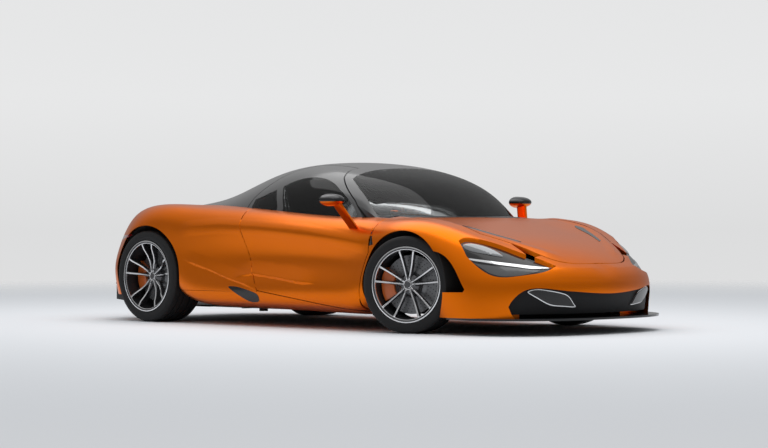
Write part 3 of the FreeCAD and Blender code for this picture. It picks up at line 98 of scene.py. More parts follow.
def makeSurfaceGrain():
    tree = bpy.data.node_groups.new("surfaceGrain", "ShaderNodeTree")
    socket = tree.interface.new_socket
    for name, kind, value in (("Light Colour", "NodeSocketColor", (0.5, 0.5, 0.5, 1)),
                              ("Dark Colour", "NodeSocketColor", (0.4, 0.4, 0.4, 1)),
                              ("Grain Scale", "NodeSocketFloat", 300.0),
                              ("Smooth Roughness", "NodeSocketFloat", 0.3),
                              ("Rough Roughness", "NodeSocketFloat", 0.4)):
        socket(name, in_out="INPUT", socket_type=kind).default_value = value
    for name, kind in (("Colour", "NodeSocketColor"), ("Roughness", "NodeSocketFloat"),
                       ("Height", "NodeSocketFloat")):
        socket(name, in_out="OUTPUT", socket_type=kind)
    given, out = newNode(tree, "NodeGroupInput"), newNode(tree, "NodeGroupOutput")
    place = newNode(tree, "ShaderNodeTexCoord")
    fine = newNode(tree, "ShaderNodeTexNoise", {"Detail": grainSettings["fineDetail"]})
    slow = newNode(tree, "ShaderNodeTexNoise", {"Scale": grainSettings["slowScale"],
                                                "Detail": grainSettings["slowDetail"]})
    link = tree.links.new
    link(place.outputs["Object"], fine.inputs["Vector"])
    link(place.outputs["Object"], slow.inputs["Vector"])
    link(given.outputs["Grain Scale"], fine.inputs["Scale"])
    share = grainSettings["fineShare"]
    both = mathNode(tree, "MULTIPLY_ADD", fine.outputs["Fac"], share,
                    mathNode(tree, "MULTIPLY", slow.outputs["Fac"], 1 - share))
    tint = newNode(tree, "ShaderNodeMix", data_type="RGBA")
    gloss = newNode(tree, "ShaderNodeMapRange")
    link(both, tint.inputs["Factor"])
    link(given.outputs["Dark Colour"], tint.inputs["A"])
    link(given.outputs["Light Colour"], tint.inputs["B"])
    link(both, gloss.inputs["Value"])
    link(given.outputs["Smooth Roughness"], gloss.inputs["To Min"])
    link(given.outputs["Rough Roughness"], gloss.inputs["To Max"])
    link(tint.outputs["Result"], out.inputs["Colour"])
    link(gloss.outputs["Result"], out.inputs["Roughness"])
    link(fine.outputs["Fac"], out.inputs["Height"])
    return tree


surfaceGrain = makeSurfaceGrain()


# A material from the shared grain; own gives the shader's own plain values.
def finish(name, light, dark, grain, roughness, bump=0.0, bumpDepth=0.0002, **own):
    material = bpy.data.materials.new(name)
    material.use_nodes = True
    tree = material.node_tree
    shader = tree.nodes["Principled BSDF"]
    group = newNode(tree, "ShaderNodeGroup", node_tree=surfaceGrain)
    for socket, value in (("Light Colour", (*light, 1)), ("Dark Colour", (*dark, 1)), ("Grain Scale", grain),
                          ("Smooth Roughness", roughness[0]), ("Rough Roughness", roughness[1])):
        group.inputs[socket].default_value = value
    tree.links.new(group.outputs["Colour"], shader.inputs["Base Color"])
    tree.links.new(group.outputs["Roughness"], shader.inputs["Roughness"])
    if bump:
        raised = newNode(tree, "ShaderNodeBump", {"Strength": bump, "Distance": bumpDepth})
        tree.links.new(group.outputs["Height"], raised.inputs["Height"])
        tree.links.new(raised.outputs["Normal"], shader.inputs["Normal"])
    for socket, value in own.items():
        shader.inputs[socket.replace("_", " ")].default_value = value
    return material


finishes = {
    "paint": finish("amberPaint", (0.810, 0.170, 0.001), (0.740, 0.145, 0.001), 2600, (0.27, 0.34), 0.06,
                    0.0001, Metallic=0.97, Coat_Weight=0.06, Coat_Roughness=0.04),
    "gloss": finish("blackGloss", (0.010, 0.010, 0.011), (0.006, 0.006, 0.007), 900, (0.16, 0.22),
                    Specular_IOR_Level=0.30, Coat_Weight=0.35, Coat_Roughness=0.05),
    "roof": finish("roofBlack", (0.032, 0.032, 0.033), (0.022, 0.022, 0.023), 700, (0.26, 0.34),
                   Coat_Weight=0.7, Coat_Roughness=0.12),
    "plastic": finish("darkPlastic", (0.012, 0.012, 0.013), (0.007, 0.007, 0.008), 1500, (0.50, 0.62), 0.3,
                      Specular_IOR_Level=0.22),
    "liner": finish("linerFelt", (0.016, 0.016, 0.016), (0.008, 0.008, 0.008), 2200, (0.85, 0.95), 0.5),
    "tub": finish("tubCarbon", (0.035, 0.035, 0.037), (0.020, 0.020, 0.022), 1100, (0.35, 0.50), 0.2),
    "rubber": finish("tyreRubber", (0.017, 0.017, 0.018), (0.010, 0.010, 0.011), 1800, (0.58, 0.72), 0.35,
                     Specular_IOR_Level=0.30),
    "rimGrey": finish("rimGrey", (0.105, 0.105, 0.110), (0.070, 0.070, 0.075), 1200, (0.30, 0.38),
                      Metallic=0.8, Coat_Weight=0.5, Coat_Roughness=0.1),
    "rimBright": finish("turnedRim", (0.820, 0.820, 0.830), (0.700, 0.700, 0.715), 1600, (0.12, 0.22),
                        Metallic=1.0),
    "barrel": finish("barrelGrey", (0.050, 0.050, 0.053), (0.032, 0.032, 0.035), 900, (0.40, 0.50),
                     Metallic=0.6),
    "disc": finish("discCeramic", (0.230, 0.232, 0.238), (0.150, 0.152, 0.158), 1400, (0.30, 0.45), 0.2,
                   Metallic=0.7),
    "caliper": finish("caliperOrange", (0.700, 0.155, 0.022), (0.610, 0.120, 0.016), 900, (0.28, 0.36),
                      Coat_Weight=0.6, Coat_Roughness=0.1),
    "steel": finish("bareSteel", (0.300, 0.302, 0.310), (0.200, 0.202, 0.210), 1300, (0.30, 0.45), 0.15,
                    Metallic=0.9),
    "castMetal": finish("castMetal", (0.150, 0.150, 0.155), (0.090, 0.090, 0.095), 900, (0.45, 0.60), 0.4,
                        Metallic=0.8),
    "silver": finish("lampSilver", (0.780, 0.790, 0.800), (0.600, 0.610, 0.620), 1200, (0.10, 0.20),
                     Metallic=1.0),
    "projector": finish("lampProjector", (0.300, 0.310, 0.320), (0.180, 0.190, 0.200), 260, (0.08, 0.18),
                        Metallic=0.6, Coat_Weight=1.0),
    "lensRibs": finish("lensRibs", (0.075, 0.080, 0.085), (0.030, 0.032, 0.034), 90, (0.12, 0.30), 0.8,
                       0.0010, Coat_Weight=1.0),
    "leather": finish("seatLeather", (0.030, 0.029, 0.028), (0.018, 0.018, 0.017), 900, (0.45, 0.60), 0.6,
                      0.0006),
    "dash": finish("dashHide", (0.026, 0.026, 0.026), (0.016, 0.016, 0.016), 1200, (0.60, 0.75), 0.5, 0.0004),
    "tailRed": finish("tailRed", (0.420, 0.012, 0.010), (0.280, 0.006, 0.006), 700, (0.10, 0.18),
                      Coat_Weight=1.0),
}


# A thin pane: clear straight through, with the sky's reflection over it.
paneSettings = {"tint": (0.90, 0.915, 0.92, 1), "shine": (0.55, 0.55, 0.55, 1), "roughness": 0.015, "ior": 1.45}


def makeGlass(name):
    material = bpy.data.materials.new(name)
    material.use_nodes = True
    tree = material.node_tree
    tree.nodes.remove(tree.nodes["Principled BSDF"])
    clear = newNode(tree, "ShaderNodeBsdfTransparent", {"Color": paneSettings["tint"]})
    gloss = newNode(tree, "ShaderNodeBsdfGlossy", {"Roughness": paneSettings["roughness"],
                                                   "Color": paneSettings["shine"]})
    edge = newNode(tree, "ShaderNodeFresnel", {"IOR": paneSettings["ior"]})
    mixed = newNode(tree, "ShaderNodeMixShader")
    tree.links.new(edge.outputs["Fac"], mixed.inputs["Fac"])
    tree.links.new(clear.outputs["BSDF"], mixed.inputs[1])
    tree.links.new(gloss.outputs["BSDF"], mixed.inputs[2])
    tree.links.new(mixed.outputs["Shader"], tree.nodes["Material Output"].inputs["Surface"])
    return material


finishes["glass"] = makeGlass("tintedPane")
print("materials made")


# The body's own form, from the same control rows as the part's source, in metres.
carForm = {
    "wheelbase": 2.670,
    "frontOverhang": 1.070,
    "rearOverhang": 0.803,
    "halfWidth": 0.965,
    "height": 1.196,
    "tailRise": 0.6714,
    "noseRise": 0.8946,
    "tyreRadius": {"front": 0.327, "rear": 0.3455},
    "track": {"front": 1.674, "rear": 1.629},
    "steerRest": 17.6,
    "steerOffset": 0.030,
}
halfLength = (carForm["frontOverhang"] + carForm["wheelbase"] + carForm["rearOverhang"]) / 2
frontAxle = halfLength - carForm["frontOverhang"]
rearAxle = carForm["rearOverhang"] - halfLength
halfWidth = carForm["halfWidth"]
carHeight = carForm["height"]

# Rows of control points: (pivot height, fan angle, ((aside, reach), ...)) at both ends of the car
# and (place along the wheelbase, ((aside, up), ...)) between the axles, as shares of the sizes.
tailRows = (
    (0.167, 180, (
        (0.622, 0.187), (0.881, 0.249), (0.927, 0.336), (0.945, 0.411), (0.938, 0.479), (0.904, 0.554),
        (0.845, 0.641), (0.767, 0.735), (0.642, 0.832), (0.415, 0.919), (0.000, 0.943))),
    (0.289, 178, (
        (0.622, 0.187), (0.896, 0.187), (0.959, 0.249), (0.982, 0.361), (0.976, 0.486), (0.936, 0.573),
        (0.881, 0.654), (0.803, 0.747), (0.679, 0.857), (0.435, 0.959), (0.000, 0.990))),
    (0.289, 163, (
        (0.622, 0.187), (0.902, 0.187), (0.964, 0.249), (0.990, 0.349), (0.982, 0.455), (0.945, 0.548),
        (0.896, 0.635), (0.824, 0.735), (0.710, 0.847), (0.435, 0.953), (0.000, 0.996))),
    (0.289, 145, (
        (0.622, 0.187), (0.902, 0.187), (0.969, 0.243), (0.997, 0.324), (0.995, 0.405), (0.969, 0.479),
        (0.930, 0.542), (0.868, 0.648), (0.772, 0.797), (0.466, 0.984), (0.000, 1.044))),
    (0.289, 120, (
        (0.622, 0.187), (0.902, 0.187), (0.969, 0.237), (1.000, 0.318), (1.007, 0.411), (0.995, 0.498),
        (0.959, 0.579), (0.891, 0.685), (0.793, 0.747), (0.466, 0.760), (0.000, 0.770))),
    (0.289, 90, (
        (0.622, 0.187), (0.902, 0.187), (0.969, 0.237), (1.000, 0.324), (1.007, 0.411), (1.003, 0.511),
        (0.979, 0.598), (0.917, 0.672), (0.813, 0.697), (0.466, 0.654), (0.000, 0.666))),
    (0.289, 62, (
        (0.622, 0.187), (0.902, 0.187), (0.964, 0.237), (0.990, 0.324), (0.995, 0.423), (0.997, 0.523),
        (0.990, 0.629), (0.927, 0.735), (0.819, 0.772), (0.466, 0.735), (0.000, 0.747))),
)
middleRows = (
    (0.146, (
        (0.622, 0.105), (0.948, 0.105), (0.990, 0.167), (0.993, 0.276), (0.979, 0.393), (0.987, 0.518),
        (0.990, 0.627), (0.927, 0.711), (0.824, 0.740), (0.466, 0.736), (0.000, 0.736))),
    (0.288, (
        (0.622, 0.105), (0.945, 0.105), (0.990, 0.167), (0.990, 0.259), (0.951, 0.385), (0.962, 0.518),
        (0.979, 0.610), (0.920, 0.686), (0.819, 0.729), (0.466, 0.732), (0.000, 0.732))),
    (0.456, (
        (0.622, 0.100), (0.943, 0.100), (0.990, 0.171), (0.982, 0.276), (0.920, 0.401), (0.945, 0.518),
        (0.982, 0.598), (0.910, 0.669), (0.813, 0.711), (0.466, 0.723), (0.000, 0.723))),
    (0.625, (
        (0.622, 0.094), (0.938, 0.094), (0.990, 0.176), (0.982, 0.276), (0.918, 0.401), (0.941, 0.493),
        (0.982, 0.562), (0.912, 0.637), (0.808, 0.679), (0.466, 0.694), (0.000, 0.694))),
    (0.775, (
        (0.622, 0.088), (0.938, 0.088), (0.990, 0.171), (0.987, 0.276), (0.935, 0.385), (0.951, 0.468),
        (0.979, 0.539), (0.904, 0.620), (0.798, 0.662), (0.466, 0.681), (0.000, 0.683))),
    (0.872, (
        (0.622, 0.085), (0.938, 0.085), (0.990, 0.167), (0.993, 0.268), (0.969, 0.368), (0.969, 0.452),
        (0.972, 0.531), (0.899, 0.615), (0.788, 0.652), (0.466, 0.669), (0.000, 0.671))),
)
noseRows = (
    (0.273, 115, (
        (0.622, 0.140), (0.881, 0.140), (0.959, 0.168), (0.984, 0.224), (0.987, 0.280), (0.982, 0.332),
        (0.966, 0.381), (0.896, 0.437), (0.782, 0.462), (0.466, 0.465), (0.000, 0.471))),
    (0.273, 88, (
        (0.622, 0.140), (0.881, 0.140), (0.953, 0.168), (0.982, 0.224), (0.990, 0.280), (0.982, 0.325),
        (0.955, 0.366), (0.879, 0.409), (0.767, 0.427), (0.466, 0.393), (0.000, 0.402))),
    (0.273, 62, (
        (0.622, 0.140), (0.881, 0.140), (0.953, 0.168), (0.979, 0.224), (0.984, 0.280), (0.976, 0.327),
        (0.945, 0.379), (0.862, 0.428), (0.748, 0.445), (0.435, 0.402), (0.000, 0.414))),
    (0.273, 40, (
        (0.622, 0.140), (0.881, 0.140), (0.948, 0.173), (0.974, 0.234), (0.979, 0.299), (0.964, 0.364),
        (0.922, 0.422), (0.845, 0.479), (0.731, 0.514), (0.435, 0.495), (0.000, 0.505))),
    (0.273, 22, (
        (0.622, 0.140), (0.881, 0.140), (0.943, 0.178), (0.972, 0.243), (0.976, 0.327), (0.948, 0.411),
        (0.904, 0.481), (0.827, 0.561), (0.713, 0.640), (0.435, 0.682), (0.000, 0.699))),
    (0.273, 6, (
        (0.622, 0.140), (0.881, 0.140), (0.938, 0.187), (0.966, 0.262), (0.972, 0.374), (0.938, 0.477),
        (0.886, 0.579), (0.800, 0.692), (0.674, 0.804), (0.420, 0.921), (0.000, 0.993))),
    (0.251, 0, (
        (0.622, 0.140), (0.881, 0.140), (0.933, 0.187), (0.962, 0.262), (0.969, 0.374), (0.945, 0.477),
        (0.899, 0.589), (0.813, 0.706), (0.679, 0.818), (0.420, 0.935), (0.000, 1.007))),
    (0.096, 0, (
        (0.622, 0.140), (0.881, 0.187), (0.922, 0.280), (0.941, 0.355), (0.938, 0.430), (0.922, 0.514),
        (0.883, 0.598), (0.803, 0.696), (0.663, 0.794), (0.409, 0.893), (0.000, 0.953))),
)
# The teardrop of roof and glass: the place of each section along the wheelbase at its edge and
# in the middle of the car, then its points from the edge to the middle.
canopyRows = (
    (0.838, 0.919, (
        (0.772, 0.635), (0.746, 0.635), (0.663, 0.635), (0.518, 0.635), (0.311, 0.635), (0.000, 0.635))),
    (0.829, 0.908, (
        (0.779, 0.644), (0.751, 0.656), (0.674, 0.669), (0.528, 0.677), (0.316, 0.683), (0.000, 0.686))),
    (0.790, 0.853, (
        (0.796, 0.648), (0.765, 0.709), (0.692, 0.763), (0.546, 0.794), (0.324, 0.811), (0.000, 0.819))),
    (0.711, 0.767, (
        (0.806, 0.652), (0.769, 0.753), (0.696, 0.834), (0.549, 0.886), (0.326, 0.911), (0.000, 0.922))),
    (0.599, 0.632, (
        (0.813, 0.669), (0.772, 0.778), (0.692, 0.885), (0.539, 0.949), (0.321, 0.978), (0.000, 0.990))),
    (0.475, 0.490, (
        (0.813, 0.686), (0.769, 0.790), (0.679, 0.899), (0.523, 0.966), (0.311, 0.995), (0.000, 1.006))),
    (0.363, 0.363, (
        (0.793, 0.707), (0.744, 0.786), (0.634, 0.874), (0.472, 0.938), (0.280, 0.968), (0.000, 0.978))),
    (0.250, 0.250, (
        (0.738, 0.727), (0.679, 0.771), (0.560, 0.828), (0.399, 0.876), (0.233, 0.905), (0.000, 0.918))),
    (0.138, 0.138, (
        (0.658, 0.734), (0.596, 0.753), (0.466, 0.773), (0.316, 0.798), (0.181, 0.824), (0.000, 0.838))),
    (0.026, 0.026, (
        (0.575, 0.726), (0.513, 0.736), (0.399, 0.748), (0.275, 0.763), (0.155, 0.778), (0.000, 0.786))),
    (-0.105, -0.105, (
        (0.497, 0.702), (0.456, 0.709), (0.373, 0.719), (0.269, 0.729), (0.155, 0.737), (0.000, 0.742))),
    (-0.199, -0.199, (
        (0.435, 0.661), (0.404, 0.665), (0.342, 0.673), (0.259, 0.681), (0.155, 0.687), (0.000, 0.690))),
)


def mirroredRow(half):
    return half + [(x, -y, z) for x, y, z in reversed(half[:-1])]


def fanRows(rows, hubX, reach, rise):
    net = []
    for pivot, angle, points in rows:
        along, up = math.cos(math.radians(angle)), math.sin(math.radians(angle))
        net.append(mirroredRow([(hubX + r * along * reach, -y * halfWidth, pivot * carHeight + r * up * rise)
                                for y, r in points]))
    return net


def bodyNet():
    net = fanRows(tailRows, rearAxle, carForm["rearOverhang"], carHeight * carForm["tailRise"])
    for along, points in middleRows:
        x = rearAxle + along * carForm["wheelbase"]
        net.append(mirroredRow([(x, -y * halfWidth, z * carHeight) for y, z in points]))
    net += fanRows(noseRows, frontAxle, carForm["frontOverhang"], carHeight * carForm["noseRise"])
    return np.array(net)


def canopyNet():
    net = []
    for sideShare, middleShare, points in canopyRows:
        edge = points[0][0]
        net.append(mirroredRow([
            (rearAxle + (sideShare + (middleShare - sideShare) * (1 - (y / edge) ** 2)) * carForm["wheelbase"],
             -y * halfWidth, z * carHeight) for y, z in points]))
    return np.array(net[::-1])


# Weights of a clamped cubic spline's control points at the places t.
def splineWeights(count, t):
    inner = count - 3
    knots = np.concatenate([np.zeros(3), np.linspace(0, 1, inner + 1), np.ones(3)])
    t = np.clip(np.asarray(t, float), 0, 1 - 1e-12)
    weights = [((knots[i] <= t) & (t < knots[i + 1])).astype(float) for i in range(len(knots) - 1)]
    for degree in (1, 2, 3):
        raised = []
        for i in range(len(weights) - 1):
            low, high = knots[i + degree] - knots[i], knots[i + degree + 1] - knots[i + 1]
            total = np.zeros_like(t)
            if low > 0:
                total = total + (t - knots[i]) / low * weights[i]
            if high > 0:
                total = total + (knots[i + degree + 1] - t) / high * weights[i + 1]
            raised.append(total)
        weights = raised
    return np.stack(weights, -1)


def formPoint(form, u, v):
    rows = splineWeights(form["net"].shape[0], u)
    columns = splineWeights(form["net"].shape[1], v)
    strips = np.tensordot(rows, form["net"], (1, 0))
    return (strips * columns[:, :, None]).sum(1)


def formSlopes(form, u, v, step=1e-4):
    low, high = np.clip(u - step, 0, 1), np.clip(u + step, 0, 1)
    alongU = (formPoint(form, high, v) - formPoint(form, low, v)) / (high - low)[:, None]
    low, high = np.clip(v - step, 0, 1), np.clip(v + step, 0, 1)
    alongV = (formPoint(form, u, high) - formPoint(form, u, low)) / (high - low)[:, None]
    return alongU, alongV


def makeForm(net, uCount, vCount):
    form = {"net": net}
    u, v = np.meshgrid(np.linspace(0, 1, uCount), np.linspace(0, 1, vCount), indexing="ij")
    form["u"], form["v"] = u.ravel(), v.ravel()
    points = formPoint(form, form["u"], form["v"])
    form["points"] = points
    tree = KDTree(len(points))
    for k, point in enumerate(points):
        tree.insert(point, k)
    tree.balance()
    form["tree"] = tree
    return form


# For each point: its height over the form, the form's normal there and the foot.
def nearestOn(form, points):
    first = [form["tree"].find(p)[1] for p in points]
    u, v = form["u"][first], form["v"][first]
    for _ in range(4):
        foot = formPoint(form, u, v)
        alongU, alongV = formSlopes(form, u, v)
        away = points - foot
        a, b, c = (alongU ** 2).sum(1), (alongU * alongV).sum(1), (alongV ** 2).sum(1)
        p, q = (alongU * away).sum(1), (alongV * away).sum(1)
        scale = np.maximum(a * c - b * b, 1e-12)
        u = np.clip(u + (c * p - b * q) / scale, 0, 1)
        v = np.clip(v + (a * q - b * p) / scale, 0, 1)
    foot = formPoint(form, u, v)
    alongU, alongV = formSlopes(form, u, v)
    normal = np.cross(alongU, alongV)
    normal /= np.maximum(np.linalg.norm(normal, axis=1), 1e-12)[:, None]
    height = ((points - foot) * normal).sum(1)
    aside = np.linalg.norm(points - foot - height[:, None] * normal, axis=1)
    return height, normal, foot, aside


bodyForm = makeForm(bodyNet(), 150, 120)
canopyForm = makeForm(canopyNet(), 90, 80)
print("forms laid out")


# Creases and steps that sharpen the form. Lines are in side view (along, up) or plan (along,
# aside); above and below are how far the effect reaches on either side of the line.
creases = {
    "waist": {"view": "side", "high": 0.005, "above": 0.05, "below": 0.07, "fade": 0.15,
              "line": [(-1.10, 0.690), (-0.995, 0.716), (-0.66, 0.736), (-0.28, 0.719), (0.23, 0.691),
                       (0.65, 0.628), (0.90, 0.586)]},
    "doorLedge": {"view": "side", "high": 0.012, "above": 0.10, "below": 0.012, "fade": 0.22,
                  "line": [(-0.50, 0.352), (-0.295, 0.379), (-0.07, 0.359), (0.18, 0.329), (0.42, 0.322)]},
    "fenderFold": {"view": "side", "high": 0.006, "above": 0.08, "below": 0.010, "fade": 0.20,
                   "line": [(-1.063, 0.481), (-0.897, 0.437), (-0.729, 0.395), (-0.554, 0.347),
                            (-0.383, 0.311), (-0.230, 0.264)]},
    "frontRidge": {"view": "plan", "high": 0.007, "above": 0.06, "below": 0.06, "fade": 0.18,
                   "line": [(0.98, 0.74), (1.208, 0.690), (1.506, 0.650), (1.685, 0.560), (1.856, 0.455),
                            (1.973, 0.359), (2.06, 0.24)]},
    "noseFold": {"view": "front", "high": 0.006, "above": 0.035, "below": 0.07, "fade": 0.14,
                 "line": [(0.0, 0.437), (0.18, 0.437), (0.40, 0.438), (0.53, 0.437)]},
}
creaseReach = {"farAside": 0.78, "upFrom": 0.45, "frontFrom": 1.9, "slopeStep": 0.003, "none": 1e9}


# Signed distance from a line and the distance past the nearer of its ends.
def lineReach(flat, line):
    line = np.array(line)
    best = np.full(len(flat), creaseReach["none"])
    sign = np.ones(len(flat))
    along = np.zeros(len(flat))
    start = 0.0
    for a, b in zip(line, line[1:]):
        way = b - a
        length = np.linalg.norm(way)
        share = ((flat - a) @ way) / length ** 2
        held = np.clip(share, 0, 1)
        away = flat - a - held[:, None] * way
        distance = np.linalg.norm(away, axis=1)
        nearer = distance < best
        turn = way[0] * away[:, 1] - way[1] * away[:, 0]
        sign = np.where(nearer, np.where(turn >= 0, 1, -1), sign)
        along = np.where(nearer, start + held * length, along)
        best = np.where(nearer, distance, best)
        start += length
    return best * sign, np.minimum(along, start - along)


def eased(t):
    t = np.clip(t, 0, 1)
    return t * t * (3 - 2 * t)


# How far the creases lift the form's surface, and how close the nearest crease is.
def relief(points):
    lift, close = np.zeros(len(points)), np.full(len(points), creaseReach["none"])
    for crease in creases.values():
        aside = np.abs(points[:, 1])
        if crease["view"] == "side":
            flat, here = np.stack([points[:, 0], points[:, 2]], 1), aside > creaseReach["farAside"]
        elif crease["view"] == "plan":
            flat, here = np.stack([points[:, 0], aside], 1), points[:, 2] > creaseReach["upFrom"]
        else:
            flat, here = np.stack([aside, points[:, 2]], 1), points[:, 0] > creaseReach["frontFrom"]
        distance, inside = lineReach(flat, crease["line"])
        reach = np.where(distance > 0, crease["above"], crease["below"])
        height = crease["high"] * np.clip(1 - np.abs(distance) / reach, 0, 1)
        height = height * eased(inside / crease["fade"])
        lift += np.where(here, height, 0)
        close = np.where(here, np.minimum(close, np.abs(distance)), close)
    return lift, close


# Place and normal on the creased surface over each foot.
def raisedSurface(foot, normal):
    askew = np.array([0.13, 0.21, 0.97])  # along no crease and no panel
    side = np.cross(normal, askew)
    side /= np.linalg.norm(side, axis=1)[:, None]
    other = np.cross(normal, side)
    step = creaseReach["slopeStep"]
    lift, close = relief(foot)
    slopeA = (relief(foot + side * step)[0] - relief(foot - side * step)[0]) / (2 * step)
    slopeB = (relief(foot + other * step)[0] - relief(foot - other * step)[0]) / (2 * step)
    tilted = normal - slopeA[:, None] * side - slopeB[:, None] * other
    tilted /= np.linalg.norm(tilted, axis=1)[:, None]
    return foot + lift[:, None] * normal, tilted, close


mergeSettings = {"double": 1e-5, "sliver": 1e-6}


# A CAD node's loose triangles as one joined mesh.
def mergedCopy(node):
    work = bmesh.new()
    work.from_mesh(cadNodes[node].data)
    bmesh.ops.remove_doubles(work, verts=work.verts, dist=mergeSettings["double"])
    bmesh.ops.dissolve_degenerate(work, dist=mergeSettings["sliver"], edges=work.edges)
    return work


# A finished mesh as an object that rides on a body and stands for CAD nodes; edges sharper than
# the angle smooth, in degrees, stay sharp.
def asPiece(name, work, materials, body, replaced=(), smooth=30):
    mesh = bpy.data.meshes.new(name)
    work.to_mesh(mesh)
    work.free()
    piece = linkedObject(name, mesh)
    for material in materials:
        mesh.materials.append(finishes[material])
    mesh.polygons.foreach_set("use_smooth", [True] * len(mesh.polygons))
    mesh.set_sharp_from_angle(angle=math.radians(smooth))
    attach(piece, body)
    if replaced:
        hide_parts(*replaced)
    return piece


def bodyOf(node):
    return cadNodes[node]["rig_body"]


skinSettings = {"nearForm": 0.0012, "besideForm": 0.0004, "longestEdge": 0.050, "creaseEdge": 0.016,
                "creaseReach": 0.075, "edgeShare": 0.6, "facing": 0.7, "rounds": 6}


# A CAD skin again with more points, all set on the creased form, and with its normals.
def dressSkin(node, form, material):
    work = mergedCopy(node)
    settings = skinSettings
    for step in range(settings["rounds"] + 1):
        verts = list(work.verts)
        points = np.array([v.co for v in verts])
        height, normal, foot, aside = nearestOn(form, points)
        near = (np.abs(height) < settings["nearForm"]) & (aside < settings["besideForm"])
        if form is bodyForm:
            place, tilted, close = raisedSurface(foot, normal)
        else:
            place, tilted, close = foot, normal, np.full(len(foot), creaseReach["none"])
        work.verts.index_update()
        if step == settings["rounds"]:
            break
        split = []
        for e in work.edges:
            a, b = e.verts[0].index, e.verts[1].index
            if near[a] and near[b]:
                length = e.calc_length()
                reach = max(settings["creaseReach"], length * settings["edgeShare"])
                fine = min(close[a], close[b]) < reach
                if length > (settings["creaseEdge"] if fine else settings["longestEdge"]):
                    split.append(e)
        if not split:
            break
        bmesh.ops.subdivide_edges(work, edges=split, cuts=1, use_grid_fill=False)
        bmesh.ops.triangulate(work, faces=[f for f in work.faces if len(f.verts) > 3])
    for vert, isNear, spot in zip(verts, near, place):
        if isNear:
            vert.co = spot
    mesh = asPiece(node + "_skin", work, [material], bodyOf(node), (node,)).data
    custom = np.zeros((len(mesh.loops), 3))
    for face in mesh.polygons:
        corners = list(face.vertices)
        if near[corners].all() and np.dot(face.normal, normal[corners].mean(0)) > settings["facing"]:
            custom[list(face.loop_indices)] = tilted[corners]
    mesh.normals_split_custom_set(custom)
    print("  ", node, len(mesh.polygons))


bodySkins = {
    "bonnet": "paint", "front_wings": "paint", "front_bumper": "paint", "rear_body": "paint",
    "rear_bumper": "paint", "rear_wing": "paint", "tail_lamps": "tailRed", "side_sills": "paint",
    "door_right_skin": "paint", "door_left_skin": "paint",
}
canopySkins = {
    "roof_frame": "roof", "windscreen": "glass", "rear_glazing": "glass", "engine_cover": "roof",
    "door_right_frame": "roof", "door_left_frame": "roof", "door_right_glass": "glass",
    "door_left_glass": "glass",
}
for form, skins in ((bodyForm, bodySkins), (canopyForm, canopySkins)):
    for name, material in skins.items():
        dressSkin(name, form, material)
print("skins dressed")

# CAD nodes shown as they are, with their finish.
plainFinishes = {
    "monocoque": "tub", "jacking_pads": "plastic", "front_structure": "plastic", "front_splitter": "gloss",
    "front_grille": "plastic", "headlamps": "gloss", "arch_liners": "liner", "rear_diffuser": "gloss",
    "exhaust": "steel", "engine_block": "castMetal", "rear_uprights": "castMetal", "suspension_arms": "steel",
    "dashboard": "dash", "steering_wheel": "leather", "front_upright_left": "castMetal",
    "front_upright_right": "castMetal",
}
for end in ("front", "rear"):
    for side in ("left", "right"):
        plainFinishes["brake_disc_%s_%s" % (end, side)] = "disc"
for name, material in plainFinishes.items():
    cadNodes[name].data.materials.clear()
    cadNodes[name].data.materials.append(finishes[material])


# Wheels: each is made about its own axle, along Y, and then set in its corner.
wheelSettings = {
    "rimRadius": {"front": 0.254, "rear": 0.2665},
    "tyreWidth": {"front": 0.245, "rear": 0.305},
    "pairs": 5,
    "pairSpread": 13.0,
}
tyreSettings = {
    "segments": 112,
    "wall": [(-0.15, 0.425), (0.03, 0.437), (0.07, 0.462), (0.13, 0.478), (0.16, 0.486), (0.20, 0.487),
             (0.30, 0.494), (0.42, 0.499), (0.55, 0.497), (0.68, 0.489), (0.75, 0.480), (0.765, 0.474),
             (0.80, 0.470), (0.88, 0.452), (0.94, 0.430), (0.975, 0.405)],  # shares of height and width
    "bands": [(0.385, 0.300), (0.265, 0.130), (0.095, -0.095), (-0.130, -0.265), (-0.300, -0.385)],
    "groove": 0.0065,
    "crownDrop": 0.035,
}
rimSettings = {
    "segments": 96,
    "lipInset": 0.008,
    "beadInset": 0.016,
    "seatDrop": 0.013,
    "wellDrop": 0.021,
    "hubSegments": 64,
    "hub": [(0.0, 0.0800), (0.020, 0.0800), (0.0225, 0.0785), (0.0260, 0.0785), (0.029, 0.0815), (0.033, 0.0835),
            (0.046, 0.0800), (0.060, 0.0720), (0.070, 0.0640), (0.078, 0.0570), (0.080, 0.052), (0.0, 0.052)],
    "hubFinish": [0, 1, 0, 0, 1, 0, 0, 0, 0, 0, 0],
    "bevel": 0.0012,
    "shoulder": 0.003,
    "foot": 0.7,
}
caliperSettings = {
    "steps": 20,
    "halfAngle": 31.6,
    "section": [(0.1200, 0.0470), (0.1230, 0.0505), (0.2060, 0.0505), (0.2140, 0.0490), (0.2160, 0.0460),
                (0.2160, -0.0460), (0.2140, -0.0490), (0.2060, -0.0505), (0.1230, -0.0505), (0.1200, -0.0470),
                (0.1200, -0.0125), (0.2030, -0.0125), (0.2030, 0.0285), (0.1200, 0.0285)],
}
# Drillings: thin dark pegs just proud of each disc face, painted shade standing in for the drilled holes' shaded
# insides; no hole is cut.
drillingShade = {"Count": 132, "Rings": 4, "First Radius": 0.124, "Ring Step": 0.0195, "Peg Radius": 0.0034,
            "Peg Length": 0.0006, "Sides": 10, "Place": 0.0242}
wheelBolts = {"Count": 10, "Rings": 1, "First Radius": 0.052, "Ring Step": 0.0, "Peg Radius": 0.0062,
              "Peg Length": 0.009, "Sides": 6, "Place": 0.0850}


